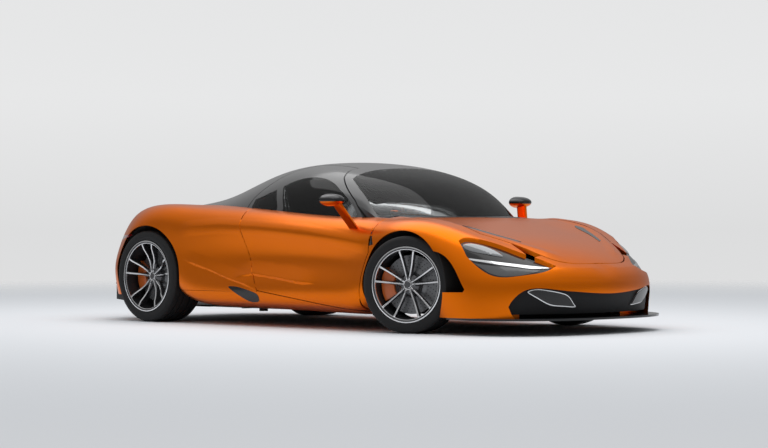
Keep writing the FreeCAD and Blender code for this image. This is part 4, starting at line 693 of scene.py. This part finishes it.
def wheelPlace(end, side):
    way = 1 if side == "left" else -1
    turn = math.radians(carForm["steerRest"]) if end == "front" else 0
    inset = carForm["steerOffset"] if end == "front" else 0
    axle = frontAxle if end == "front" else rearAxle
    spot = Vector((axle, way * (carForm["track"][end] / 2 - inset), carForm["tyreRadius"][end]))
    spot += Matrix.Rotation(turn, 3, "Z") @ Vector((0, way * inset, 0))
    return Matrix.Translation(spot) @ Matrix.Rotation(turn + (0 if side == "left" else math.pi), 4, "Z")


# A ring about Y from (radius, place along Y) points; a point at radius 0 closes it.
def addLathe(work, profile, segments, materialOf=None, closed=True):
    rings = []
    for r, y in profile:
        if r == 0:
            rings.append([work.verts.new((0, y, 0))])
            continue
        rings.append([work.verts.new((r * math.cos(a), y, r * math.sin(a)))
                      for a in (2 * math.pi * k / segments for k in range(segments))])
    pairs = list(zip(rings, rings[1:])) + ([(rings[-1], rings[0])] if closed else [])
    for index, (one, two) in enumerate(pairs):
        for k in range(segments):
            n = (k + 1) % segments
            if len(one) == 1:
                corners = (one[0], two[n], two[k])
            elif len(two) == 1:
                corners = (one[k], one[n], two[0])
            else:
                corners = (one[k], one[n], two[n], two[k])
            face = work.faces.new(corners)
            if materialOf:
                face.material_index = materialOf[index]


# Closed loops joined into a capped bar; bright is the loop edges that take the second finish.
def addBar(work, loops, bright=()):
    count = len(loops[0])
    for one, two in zip(loops, loops[1:]):
        for k in range(count):
            n = (k + 1) % count
            face = work.faces.new((one[k], one[n], two[n], two[k]))
            face.material_index = 1 if k in bright else 0
    work.faces.new(loops[0])
    work.faces.new(list(reversed(loops[-1])))


def tyreMesh(end):
    rim, width = wheelSettings["rimRadius"][end], wheelSettings["tyreWidth"][end]
    outer = carForm["tyreRadius"][end]
    tall = outer - rim
    half = [(rim + share * tall, out * width) for share, out in tyreSettings["wall"]]
    groove, edge = tyreSettings["groove"], tyreSettings["bands"][0][0]
    tread = []
    for band in tyreSettings["bands"]:
        low, high = [(outer - tyreSettings["crownDrop"] * tall * abs(y / edge) ** 3, y * width) for y in band]
        tread += [(low[0] - groove, low[1]), low, high, (high[0] - groove, high[1])]
    work = bmesh.new()
    addLathe(work, half + tread[1:-1] + [(r, -y) for r, y in reversed(half)], tyreSettings["segments"])
    bmesh.ops.recalc_face_normals(work, faces=work.faces)
    return work


def rimMesh(end):
    rim, half = wheelSettings["rimRadius"][end], wheelSettings["tyreWidth"][end] / 2
    edge, bead = half - rimSettings["lipInset"], half - rimSettings["beadInset"]
    seat, well = rim - rimSettings["seatDrop"], rim - rimSettings["wellDrop"]
    profile = [
        (rim, -edge), (rim, -bead), (seat, -bead), (seat, -bead * 0.62), (well, -bead * 0.5), (well, bead * 0.5),
        (seat, bead * 0.7), (seat, bead), (rim, bead), (rim + 0.001, edge), (rim - 0.006, edge + 0.001),
        (rim - 0.0075, edge - 0.006), (rim - 0.015, edge - 0.009), (rim - 0.0165, edge - 0.005),
        (rim - 0.0200, edge - 0.006), (rim - 0.0215, edge - 0.016), (seat - 0.010, bead * 0.78),
        (well - 0.008, bead * 0.55), (well - 0.008, -bead * 0.55), (seat - 0.008, -bead * 0.7),
        (seat - 0.008, -bead), (rim - 0.008, -edge)]
    turned, lip = (9, 10, 13, 14), (11, 12)
    finishOf = [1 if k in turned else 0 if k in lip else 2 for k in range(len(profile))]
    work = bmesh.new()
    addLathe(work, profile, rimSettings["segments"], finishOf)
    addLathe(work, rimSettings["hub"], rimSettings["hubSegments"], rimSettings["hubFinish"], False)
    stations = [  # radius, face, back, half width at the face, half width at the back
        (0.031, 0.0845, 0.0560, 0.0030, 0.0110), (0.056, 0.0856, 0.0555, 0.0034, 0.0150),
        (0.084, 0.0864, 0.0550, 0.0036, 0.0135), (0.114, 0.0870, 0.0550, 0.0036, 0.0110),
        (rim * 0.60, 0.0875 + (edge - 0.10) * 0.35, 0.0600, 0.0038, 0.0092),
        (rim * 0.78, edge * 0.90, 0.0660, 0.0042, 0.0092), (rim * 0.88, edge * 0.955, bead * 0.70, 0.0050, 0.0105),
        (rim - 0.0195, edge - 0.0062, bead * 0.80, 0.0062, 0.0130)]
    bevel, foot = rimSettings["bevel"], rimSettings["foot"]
    for spoke in range(2 * wheelSettings["pairs"]):
        lean = wheelSettings["pairSpread"] * (1 if spoke % 2 else -1)
        angle = math.radians(spoke // 2 * 360 / wheelSettings["pairs"] + 90 + lean)
        out, aside = Vector((math.cos(angle), 0, math.sin(angle))), Vector((-math.sin(angle), 0, math.cos(angle)))
        loops = []
        for r, face, back, top, base in stations:
            low = face - min(0.012, (face - back) * 0.5) - rimSettings["shoulder"]
            left = [(base * foot, back), (base, low), (top + bevel, face - 0.0010), (top, face)]
            section = [(-t, y) for t, y in left] + left[::-1]
            loops.append([work.verts.new(out * r + aside * t + Vector((0, y, 0))) for t, y in section])
        addBar(work, loops, (2, 3, 4))
    bmesh.ops.recalc_face_normals(work, faces=work.faces)
    return work


def caliperMesh(side):
    work = bmesh.new()
    way, steps = (-1 if side == "left" else 1), caliperSettings["steps"]
    loops = []
    for k in range(steps + 1):
        angle = math.radians(caliperSettings["halfAngle"] * (2 * k / steps - 1))
        loops.append([work.verts.new((way * r * math.cos(angle), y, r * math.sin(angle)))
                      for r, y in caliperSettings["section"]])
    addBar(work, loops)
    bmesh.ops.recalc_face_normals(work, faces=work.faces)
    return work


# Small round pegs on rings about Y: the disc drillings' painted shade, bolts and studs.
def ringTree():
    tree = bpy.data.node_groups.new("pegRings", "GeometryNodeTree")
    socket = tree.interface.new_socket
    socket("Geometry", in_out="INPUT", socket_type="NodeSocketGeometry")
    named = {}
    for name, kind in (("Count", "Int"), ("Rings", "Int"), ("First Radius", "Float"), ("Ring Step", "Float"),
                       ("Peg Radius", "Float"), ("Peg Length", "Float"), ("Sides", "Int"), ("Place", "Float"),
                       ("Material", "Material")):
        named[name] = socket(name, in_out="INPUT", socket_type="NodeSocket" + kind).identifier
    socket("Geometry", in_out="OUTPUT", socket_type="NodeSocketGeometry")
    link = tree.links.new
    given, out = newNode(tree, "NodeGroupInput").outputs, newNode(tree, "NodeGroupOutput")
    line = newNode(tree, "GeometryNodeMeshLine")
    link(given["Count"], line.inputs["Count"])
    index = newNode(tree, "GeometryNodeInputIndex").outputs[0]
    ring = mathNode(tree, "MODULO", index, given["Rings"])
    radius = mathNode(tree, "ADD", given["First Radius"], mathNode(tree, "MULTIPLY", ring, given["Ring Step"]))
    angle = mathNode(tree, "MULTIPLY", index, mathNode(tree, "DIVIDE", 2 * math.pi, given["Count"]))
    place = newNode(tree, "ShaderNodeCombineXYZ")
    link(mathNode(tree, "MULTIPLY", radius, mathNode(tree, "COSINE", angle)), place.inputs["X"])
    link(given["Place"], place.inputs["Y"])
    link(mathNode(tree, "MULTIPLY", radius, mathNode(tree, "SINE", angle)), place.inputs["Z"])
    setPlace = newNode(tree, "GeometryNodeSetPosition")
    link(line.outputs["Mesh"], setPlace.inputs["Geometry"])
    link(place.outputs["Vector"], setPlace.inputs["Position"])
    peg = newNode(tree, "GeometryNodeMeshCylinder")
    link(given["Sides"], peg.inputs["Vertices"])
    link(given["Peg Radius"], peg.inputs["Radius"])
    link(given["Peg Length"], peg.inputs["Depth"])
    spread = newNode(tree, "GeometryNodeInstanceOnPoints", {"Rotation": (math.pi / 2, 0, 0)})
    link(setPlace.outputs["Geometry"], spread.inputs["Points"])
    link(peg.outputs["Mesh"], spread.inputs["Instance"])
    real, paintOn = newNode(tree, "GeometryNodeRealizeInstances"), newNode(tree, "GeometryNodeSetMaterial")
    link(spread.outputs["Instances"], real.inputs["Geometry"])
    link(real.outputs["Geometry"], paintOn.inputs["Geometry"])
    link(given["Material"], paintOn.inputs["Material"])
    link(paintOn.outputs["Geometry"], out.inputs["Geometry"])
    return tree, named


pegRings, pegInputs = ringTree()


# An object's mesh with its modifiers applied; the object itself goes.
def plainMesh(maker):
    mesh = bpy.data.meshes.new_from_object(maker.evaluated_get(bpy.context.evaluated_depsgraph_get()))
    maker.modifiers.clear()
    bpy.data.objects.remove(maker)
    return mesh


# Pegs on rings, in their finish, placed by the wheel's matrix.
def placedPegs(name, values, material, matrix, body):
    holder = linkedObject("pegHolder", bpy.data.meshes.new("pegHolder"))
    modifier = holder.modifiers.new("rings", "NODES")
    modifier.node_group = pegRings
    for socket, value in values.items():
        modifier[pegInputs[socket]] = value
    modifier[pegInputs["Material"]] = finishes[material]
    mesh = plainMesh(holder)
    mesh.transform(matrix)
    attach(linkedObject(name, mesh), body)


for corner in ("front_left", "front_right", "rear_left", "rear_right"):
    end, side = corner.split("_")
    matrix, wheelBody = wheelPlace(end, side), "wheel_" + corner
    holder = "upright_" + corner if end == "front" else "body"
    for name, work, materials, body, stands in (
            ("tyre_%s_made" % corner, tyreMesh(end), ["rubber"], wheelBody, ("tyre_" + corner,)),
            ("rim_%s_made" % corner, rimMesh(end), ["rimGrey", "rimBright", "barrel"], wheelBody,
             ("rim_" + corner,)),
            ("caliper_" + corner, caliperMesh(side), ["caliper"], holder, ())):
        bmesh.ops.transform(work, matrix=matrix, verts=work.verts)
        asPiece(name, work, materials, body, stands)
    # Dark felt pegs on the disc faces: painted shade of the drilled holes.
    placedPegs("disc_drilling_shade_" + corner, drillingShade, "liner", matrix, wheelBody)
    placedPegs("wheel_bolts_" + corner, wheelBolts, "steel", matrix, wheelBody)
print("wheels built")


# Thin closed patches that lie on CAD skins, for lamps and pods, and dark sheets of painted shade where slots and
# intakes open.
layReach = {"above": 0.06, "through": 0.16, "roundings": (0.0, 0.25, 0.5, 0.75), "rimShare": 0.45, "sharp": 40}


def skinTree(name):
    mesh = cadNodes[name].data
    return BVHTree.FromPolygons([v.co for v in mesh.vertices], [list(f.vertices) for f in mesh.polygons])


# Points set on the nodes' outer surface along the form's normals, and lifted off it.
def onSkin(nodes, points, normals, lift):
    trees = [skinTree(name) for name in nodes]
    placed = np.full(points.shape, np.nan)
    for k, (point, normal) in enumerate(zip(points, normals)):
        start = Vector(point + normal * layReach["above"])
        hits = [tree.ray_cast(start, Vector(-normal), layReach["through"]) for tree in trees]
        hits = [hit for hit in hits if hit[0] is not None]
        if hits:
            placed[k] = min(hits, key=lambda hit: hit[3])[0]
    lost = np.isnan(placed[:, 0])
    if lost.any():
        depth = np.nanmedian(((points - placed) * normals).sum(1)) if not lost.all() else 0.0
        placed[lost] = points[lost] - normals[lost] * depth
    return placed + normals * lift


# A smooth closed curve through the outline's points.
def roundedOutline(outline):
    outline = np.array(outline, float)
    rounded = []
    for k, here in enumerate(outline):
        before, after = outline[k - 1], outline[(k + 1) % len(outline)]
        beyond = outline[(k + 2) % len(outline)]
        for t in layReach["roundings"]:
            rounded.append(0.5 * (2 * here + (after - before) * t
                                  + (2 * before - 5 * here + 4 * after - beyond) * t ** 2
                                  + (3 * here - before - 3 * after + beyond) * t ** 3))
    return np.array(rounded)


# Grid points inside a flat outline, clear of its rim.
def insidePoints(flat, spacing):
    low, high = flat.min(0), flat.max(0)
    run = np.roll(flat, -1, 0) - flat
    rise = np.where(run[:, 1] == 0, 1e-9, run[:, 1])
    inner = []
    for px in np.arange(low[0], high[0], spacing):
        for py in np.arange(low[1], high[1], spacing):
            turns = (flat[:, 1] > py) != (np.roll(flat[:, 1], -1) > py)
            crossing = flat[:, 0] + (py - flat[:, 1]) * run[:, 0] / rise
            gap = np.min(np.linalg.norm(flat - (px, py), axis=1))
            if np.sum(turns & (px < crossing)) % 2 == 1 and gap > spacing * layReach["rimShare"]:
                inner.append((px, py))
    return inner


def patchOn(name, outline, nodes, material, lift, depth, spacing, dome=0.0, inset=0.0):
    outline = roundedOutline(outline)
    centre = outline.mean(0)
    across, along = np.linalg.svd(outline - centre)[2][:2]
    flat = np.stack([(outline - centre) @ across, (outline - centre) @ along], 1)
    if np.sum(flat[:, 0] * np.roll(flat[:, 1], -1) - flat[:, 1] * np.roll(flat[:, 0], -1)) < 0:
        flat = flat[::-1]
    if inset:
        way = np.roll(flat, -1, 0) - np.roll(flat, 1, 0)
        way /= np.linalg.norm(way, axis=1)[:, None]
        flat = flat + inset * np.stack([-way[:, 1], way[:, 0]], 1)
    spots = [Vector(p) for p in flat] + [Vector(p) for p in insidePoints(flat, spacing)]
    found = delaunay_2d_cdt(spots, [], [list(range(len(flat)))], 1, 1e-6)
    flatAll, faces = np.array(found[0]), found[2]
    points = centre + flatAll[:, :1] * across + flatAll[:, 1:2] * along
    for _ in range(2):
        _, normal, points, _ = nearestOn(bodyForm, points)
    if np.dot(normal.mean(0), np.cross(across, along)) < 0:
        faces = [face[::-1] for face in faces]
    rim = np.array([np.min(np.linalg.norm(flat - p, axis=1)) for p in flatAll])
    rise = dome * (1 - (1 - np.clip(rim / max(rim.max(), 1e-6), 0, 1)) ** 2)
    top = onSkin(nodes, points, normal, lift) + rise[:, None] * normal
    work = bmesh.new()
    tops = [work.verts.new(p) for p in top]
    unders = [work.verts.new(p) for p in top - normal * (depth + rise)[:, None]]
    edges = {}
    for face in faces:
        work.faces.new([tops[k] for k in face])
        work.faces.new([unders[k] for k in face[::-1]])
        edges.update(dict.fromkeys(zip(face, face[1:] + face[:1])))
    for a, b in edges:
        if (b, a) not in edges:
            work.faces.new([tops[b], tops[a], unders[a], unders[b]])
    asPiece(name, work, [material], bodyOf(nodes[0]), (), layReach["sharp"])


# Outlines on the right side of the car; each is mirrored to the left.
outlines = {
    "lampBar": [
        (1.716, -.845, .515), (1.782, -.798, .517), (1.877, -.724, .505), (1.958, -.635, .490),
        (2.022, -.541, .473), (2.075, -.440, .458), (2.086, -.425, .450), (2.039, -.561, .447),
        (1.973, -.652, .463), (1.890, -.739, .476), (1.794, -.811, .489), (1.736, -.846, .492)],
    "lampEye": [
        (1.640, -.815, .610), (1.655, -.780, .624), (1.700, -.735, .618), (1.750, -.698, .602),
        (1.809, -.672, .580), (1.860, -.668, .548), (1.872, -.682, .534), (1.840, -.716, .538),
        (1.764, -.778, .556), (1.700, -.816, .570), (1.658, -.828, .590)],
    "lampLens": [
        (1.748, -.832, .476), (1.800, -.806, .476), (1.885, -.738, .464), (1.965, -.652, .450),
        (2.030, -.560, .435), (2.060, -.520, .430), (2.020, -.643, .408), (1.955, -.730, .396),
        (1.905, -.772, .398), (1.855, -.804, .420), (1.800, -.822, .456)],
    "fang": [
        (2.057, -.644, .289), (2.090, -.590, .307), (2.124, -.523, .299), (2.165, -.417, .278),
        (2.179, -.364, .256), (2.184, -.315, .205), (2.183, -.297, .180), (2.159, -.395, .186),
        (2.127, -.494, .198), (2.085, -.580, .245)],
    # Dark sheet on the sill and rear body where the side intake opens: painted shade of its inside; no opening is
    # cut.
    "sideIntake": [
        (-.536, -.951, .284), (-.445, -.950, .284), (-.330, -.949, .262), (-.230, -.948, .232),
        (-.222, -.930, .185), (-.302, -.930, .176), (-.414, -.947, .217), (-.493, -.951, .254)],
    # Dark sheet on the bonnet where the slot opens: painted shade of its inside; no opening is cut.
    "bonnetSlot": [
        (1.440, -.600, .717), (1.487, -.545, .705), (1.640, -.490, .663), (1.760, -.430, .625),
        (1.800, -.418, .611), (1.735, -.520, .633), (1.600, -.590, .672)],
}
patches = {
    "lampBar": {"outline": "lampBar", "nodes": ["headlamps"], "material": "silver", "lift": 0.004,
                "depth": 0.006, "spacing": 0.012},
    "lampEye": {"outline": "lampEye", "nodes": ["headlamps"], "material": "projector", "lift": 0.003,
                "depth": 0.005, "spacing": 0.010, "dome": 0.010},
    "lampLens": {"outline": "lampLens", "nodes": ["headlamps"], "material": "lensRibs", "lift": 0.002,
                 "depth": 0.004, "spacing": 0.014},
    "fangEdge": {"outline": "fang", "nodes": ["front_grille"], "material": "silver", "lift": 0.010,
                 "depth": 0.008, "spacing": 0.020},
    "fang": {"outline": "fang", "nodes": ["front_grille"], "material": "gloss", "lift": 0.014,
             "depth": 0.010, "spacing": 0.020, "inset": 0.006},
    # The side intake is a gloss black sheet: painted shade of the intake's inside.
    "sideIntake": {"outline": "sideIntake", "nodes": ["side_sills", "rear_body"], "material": "gloss",
                   "lift": 0.002, "depth": 0.006, "spacing": 0.020},
    # The bonnet slot is a gloss black sheet: painted shade of the slot's inside.
    "bonnetSlot": {"outline": "bonnetSlot", "nodes": ["bonnet"], "material": "gloss", "lift": 0.002,
                   "depth": 0.006, "spacing": 0.020},
}
for name, patch in patches.items():
    for side, sign in (("right", 1), ("left", -1)):
        outline = [(x, y * sign, z) for x, y, z in outlines[patch["outline"]]]
        patchOn("%s_%s" % (name, side), **{**patch, "outline": outline})
print("patches laid")

# Mirrors: gloss caps over painted foot plates.
mirrorSettings = {"capFloor": 0.888, "sharp": 35}
for side in ("left", "right"):
    node = "mirror_" + side
    work = mergedCopy(node)
    for face in work.faces:
        face.material_index = 0 if face.calc_center_median().z > mirrorSettings["capFloor"] else 1
    asPiece("mirror_shell_" + side, work, ["gloss", "paint"], bodyOf(node), (node,), mirrorSettings["sharp"])

# Seats: the CAD seats rounded into stuffed pads with sewn channels.
seatSettings = {"voxel": 0.010, "softening": 14, "softShare": 0.5, "channel": 0.0045, "channelWide": 0.010,
                "channelStep": 0.085, "channelLean": 0.55, "crossShare": 0.8, "centre": 0.12, "sharp": 60}


def seatMesh(sign):
    work = mergedCopy("seats")
    bmesh.ops.delete(work, geom=[v for v in work.verts if v.co.y * sign < 0], context="VERTS")
    rough = bpy.data.meshes.new("seatRough")
    work.to_mesh(rough)
    work.free()
    maker = linkedObject("seatRough", rough)
    even = maker.modifiers.new("even", "REMESH")
    even.mode = "VOXEL"
    even.voxel_size = seatSettings["voxel"]
    soft = maker.modifiers.new("soft", "SMOOTH")
    soft.factor = seatSettings["softShare"]
    soft.iterations = seatSettings["softening"]
    return plainMesh(maker)


# How deep the sewn channels pull each point in, from 0 to 1.
def seamDepth(spot, middle):
    wide, step = seatSettings["channelWide"], seatSettings["channelStep"]
    aside = abs(abs(spot.y) - middle)
    seam = np.exp(-((aside - seatSettings["centre"]) / wide) ** 2)
    if aside < seatSettings["centre"]:
        run = (spot.x * seatSettings["channelLean"] + spot.z) % step
        seam = max(seam, np.exp(-(min(run, step - run) / wide) ** 2) * seatSettings["crossShare"])
    return float(seam)


for side, sign in (("left", 1), ("right", -1)):
    work = bmesh.new()
    work.from_mesh(seatMesh(sign))
    middle = np.mean([abs(v.co.y) for v in work.verts])
    moves = [(vert, vert.normal * -seatSettings["channel"] * seamDepth(vert.co, middle)) for vert in work.verts]
    for vert, move in moves:
        vert.co += move
    pad = asPiece("seat_pad_" + side, work, ["leather"], bodyOf("seats"), ("seats",), seatSettings["sharp"])
print("seats padded")


# Floor, light and camera.
studio = {
    "floorColour": (0.86, 0.885, 0.92, 1),
    "floorRoughness": 0.9,
    "floorHalf": 30,
    "fadeStart": 7.0,
    "fadeEnd": 15.0,
    "lighting": ((0.0, 0.50), (0.42, 0.42), (0.50, 0.16), (0.60, 0.21), (0.76, 0.55), (0.90, 0.80), (1.0, 0.80)),
    "backdrop": ((0.0, 0.70), (0.47, 0.74), (0.50, 0.72), (0.53, 0.80), (0.57, 0.78), (1.0, 0.62)),
    "coolness": (1, 1.005, 1.01),
    "backdropInGloss": 0.25,
    "overhead": {"place": (0.2, 0.0, 4.6), "size": (7.5, 4.2), "power": 130, "toward": (0.2, 0.0, 0.0)},
    "cameraPlace": (11.0800, -11.1340, 0.69402),
    "cameraYaw": 2.348740,
    "cameraPitch": 0.0026962,
    "cameraRoll": -0.000688,
    "sensor": 36,
    "focalPixels": 2124.914,
    "photoWidth": 768,
}


def makeFloor():
    material = bpy.data.materials.new("paleFloor")
    material.use_nodes = True
    tree = material.node_tree
    shader = tree.nodes["Principled BSDF"]
    for socket, value in (("Base Color", studio["floorColour"]), ("Roughness", studio["floorRoughness"]),
                          ("Specular IOR Level", 0.0)):
        shader.inputs[socket].default_value = value
    place = newNode(tree, "ShaderNodeTexCoord")
    distance = newNode(tree, "ShaderNodeVectorMath", operation="LENGTH")
    fade = newNode(tree, "ShaderNodeMapRange", {"From Min": studio["fadeStart"], "From Max": studio["fadeEnd"]},
                   interpolation_type="SMOOTHSTEP")
    gone, mixed = newNode(tree, "ShaderNodeBsdfTransparent"), newNode(tree, "ShaderNodeMixShader")
    link = tree.links.new
    link(place.outputs["Object"], distance.inputs[0])
    link(distance.outputs["Value"], fade.inputs["Value"])
    link(fade.outputs["Result"], mixed.inputs["Fac"])
    link(shader.outputs["BSDF"], mixed.inputs[1])
    link(gone.outputs["BSDF"], mixed.inputs[2])
    link(mixed.outputs["Shader"], tree.nodes["Material Output"].inputs["Surface"])
    mesh = bpy.data.meshes.new("floor")
    work = bmesh.new()
    bmesh.ops.create_grid(work, x_segments=4, y_segments=4, size=studio["floorHalf"])
    work.to_mesh(mesh)
    work.free()
    mesh.materials.append(material)
    linkedObject("floor", mesh)


# Pale backdrop for the camera; a softer sky with a dim horizon lights the car.
def makeWorld():
    world = bpy.data.worlds.new("studioSky")
    scene.world = world
    world.use_nodes = True
    tree = world.node_tree
    tree.nodes.clear()
    link = tree.links.new
    split = newNode(tree, "ShaderNodeSeparateXYZ")
    link(newNode(tree, "ShaderNodeTexCoord").outputs["Generated"], split.inputs["Vector"])
    height = mathNode(tree, "MULTIPLY_ADD", split.outputs["Z"], 0.5, 0.5)
    skies = []
    for stops in (studio["lighting"], studio["backdrop"]):
        ramp = newNode(tree, "ShaderNodeValToRGB")
        bar = ramp.color_ramp.elements
        while len(bar) > 1:
            bar.remove(bar[-1])
        for k, (at, tone) in enumerate(stops):
            stop = bar[0] if k == 0 else bar.new(at)
            stop.position = at
            stop.color = (*(tone * cool for cool in studio["coolness"]), 1)
        sky = newNode(tree, "ShaderNodeBackground")
        link(height, ramp.inputs["Fac"])
        link(ramp.outputs["Color"], sky.inputs["Color"])
        skies.append(sky)
    path = newNode(tree, "ShaderNodeLightPath").outputs
    seen = mathNode(tree, "MAXIMUM", path["Is Camera Ray"], path["Is Transmission Ray"])
    glossy = mathNode(tree, "MULTIPLY", path["Is Glossy Ray"], studio["backdropInGloss"])
    total = mathNode(tree, "ADD", seen, glossy)
    total.node.use_clamp = True
    mixed, out = newNode(tree, "ShaderNodeMixShader"), newNode(tree, "ShaderNodeOutputWorld")
    link(total, mixed.inputs["Fac"])
    link(skies[0].outputs["Background"], mixed.inputs[1])
    link(skies[1].outputs["Background"], mixed.inputs[2])
    link(mixed.outputs["Shader"], out.inputs["Surface"])


def makeLamp(name, settings):
    light = bpy.data.lights.new(name, "AREA")
    light.shape = "RECTANGLE"
    light.size, light.size_y = settings["size"]
    light.energy = settings["power"]
    lamp = linkedObject(name, light)
    lamp.location = settings["place"]
    way = Vector(settings["toward"]) - Vector(settings["place"])
    lamp.rotation_euler = way.to_track_quat("-Z", "Y").to_euler()


def makeCamera():
    yaw, pitch, roll = studio["cameraYaw"], studio["cameraPitch"], studio["cameraRoll"]
    ahead = Vector((math.cos(pitch) * math.cos(yaw), math.cos(pitch) * math.sin(yaw), math.sin(pitch)))
    right = ahead.cross(Vector((0, 0, 1))).normalized()
    up = right.cross(ahead)
    rolledRight = right * math.cos(roll) + up * math.sin(roll)
    rolledUp = up * math.cos(roll) - right * math.sin(roll)
    data = bpy.data.cameras.new("photoCamera")
    data.sensor_width = studio["sensor"]
    data.lens = studio["focalPixels"] / studio["photoWidth"] * studio["sensor"]
    camera = linkedObject("photoCamera", data)
    turn = Matrix((rolledRight, rolledUp, -ahead)).transposed().to_4x4()
    camera.matrix_world = Matrix.Translation(studio["cameraPlace"]) @ turn
    scene.camera = camera


makeFloor()
makeWorld()
makeLamp("overheadPanel", studio["overhead"])
makeCamera()
scene.view_settings.view_transform = "Standard"
print("studio set")
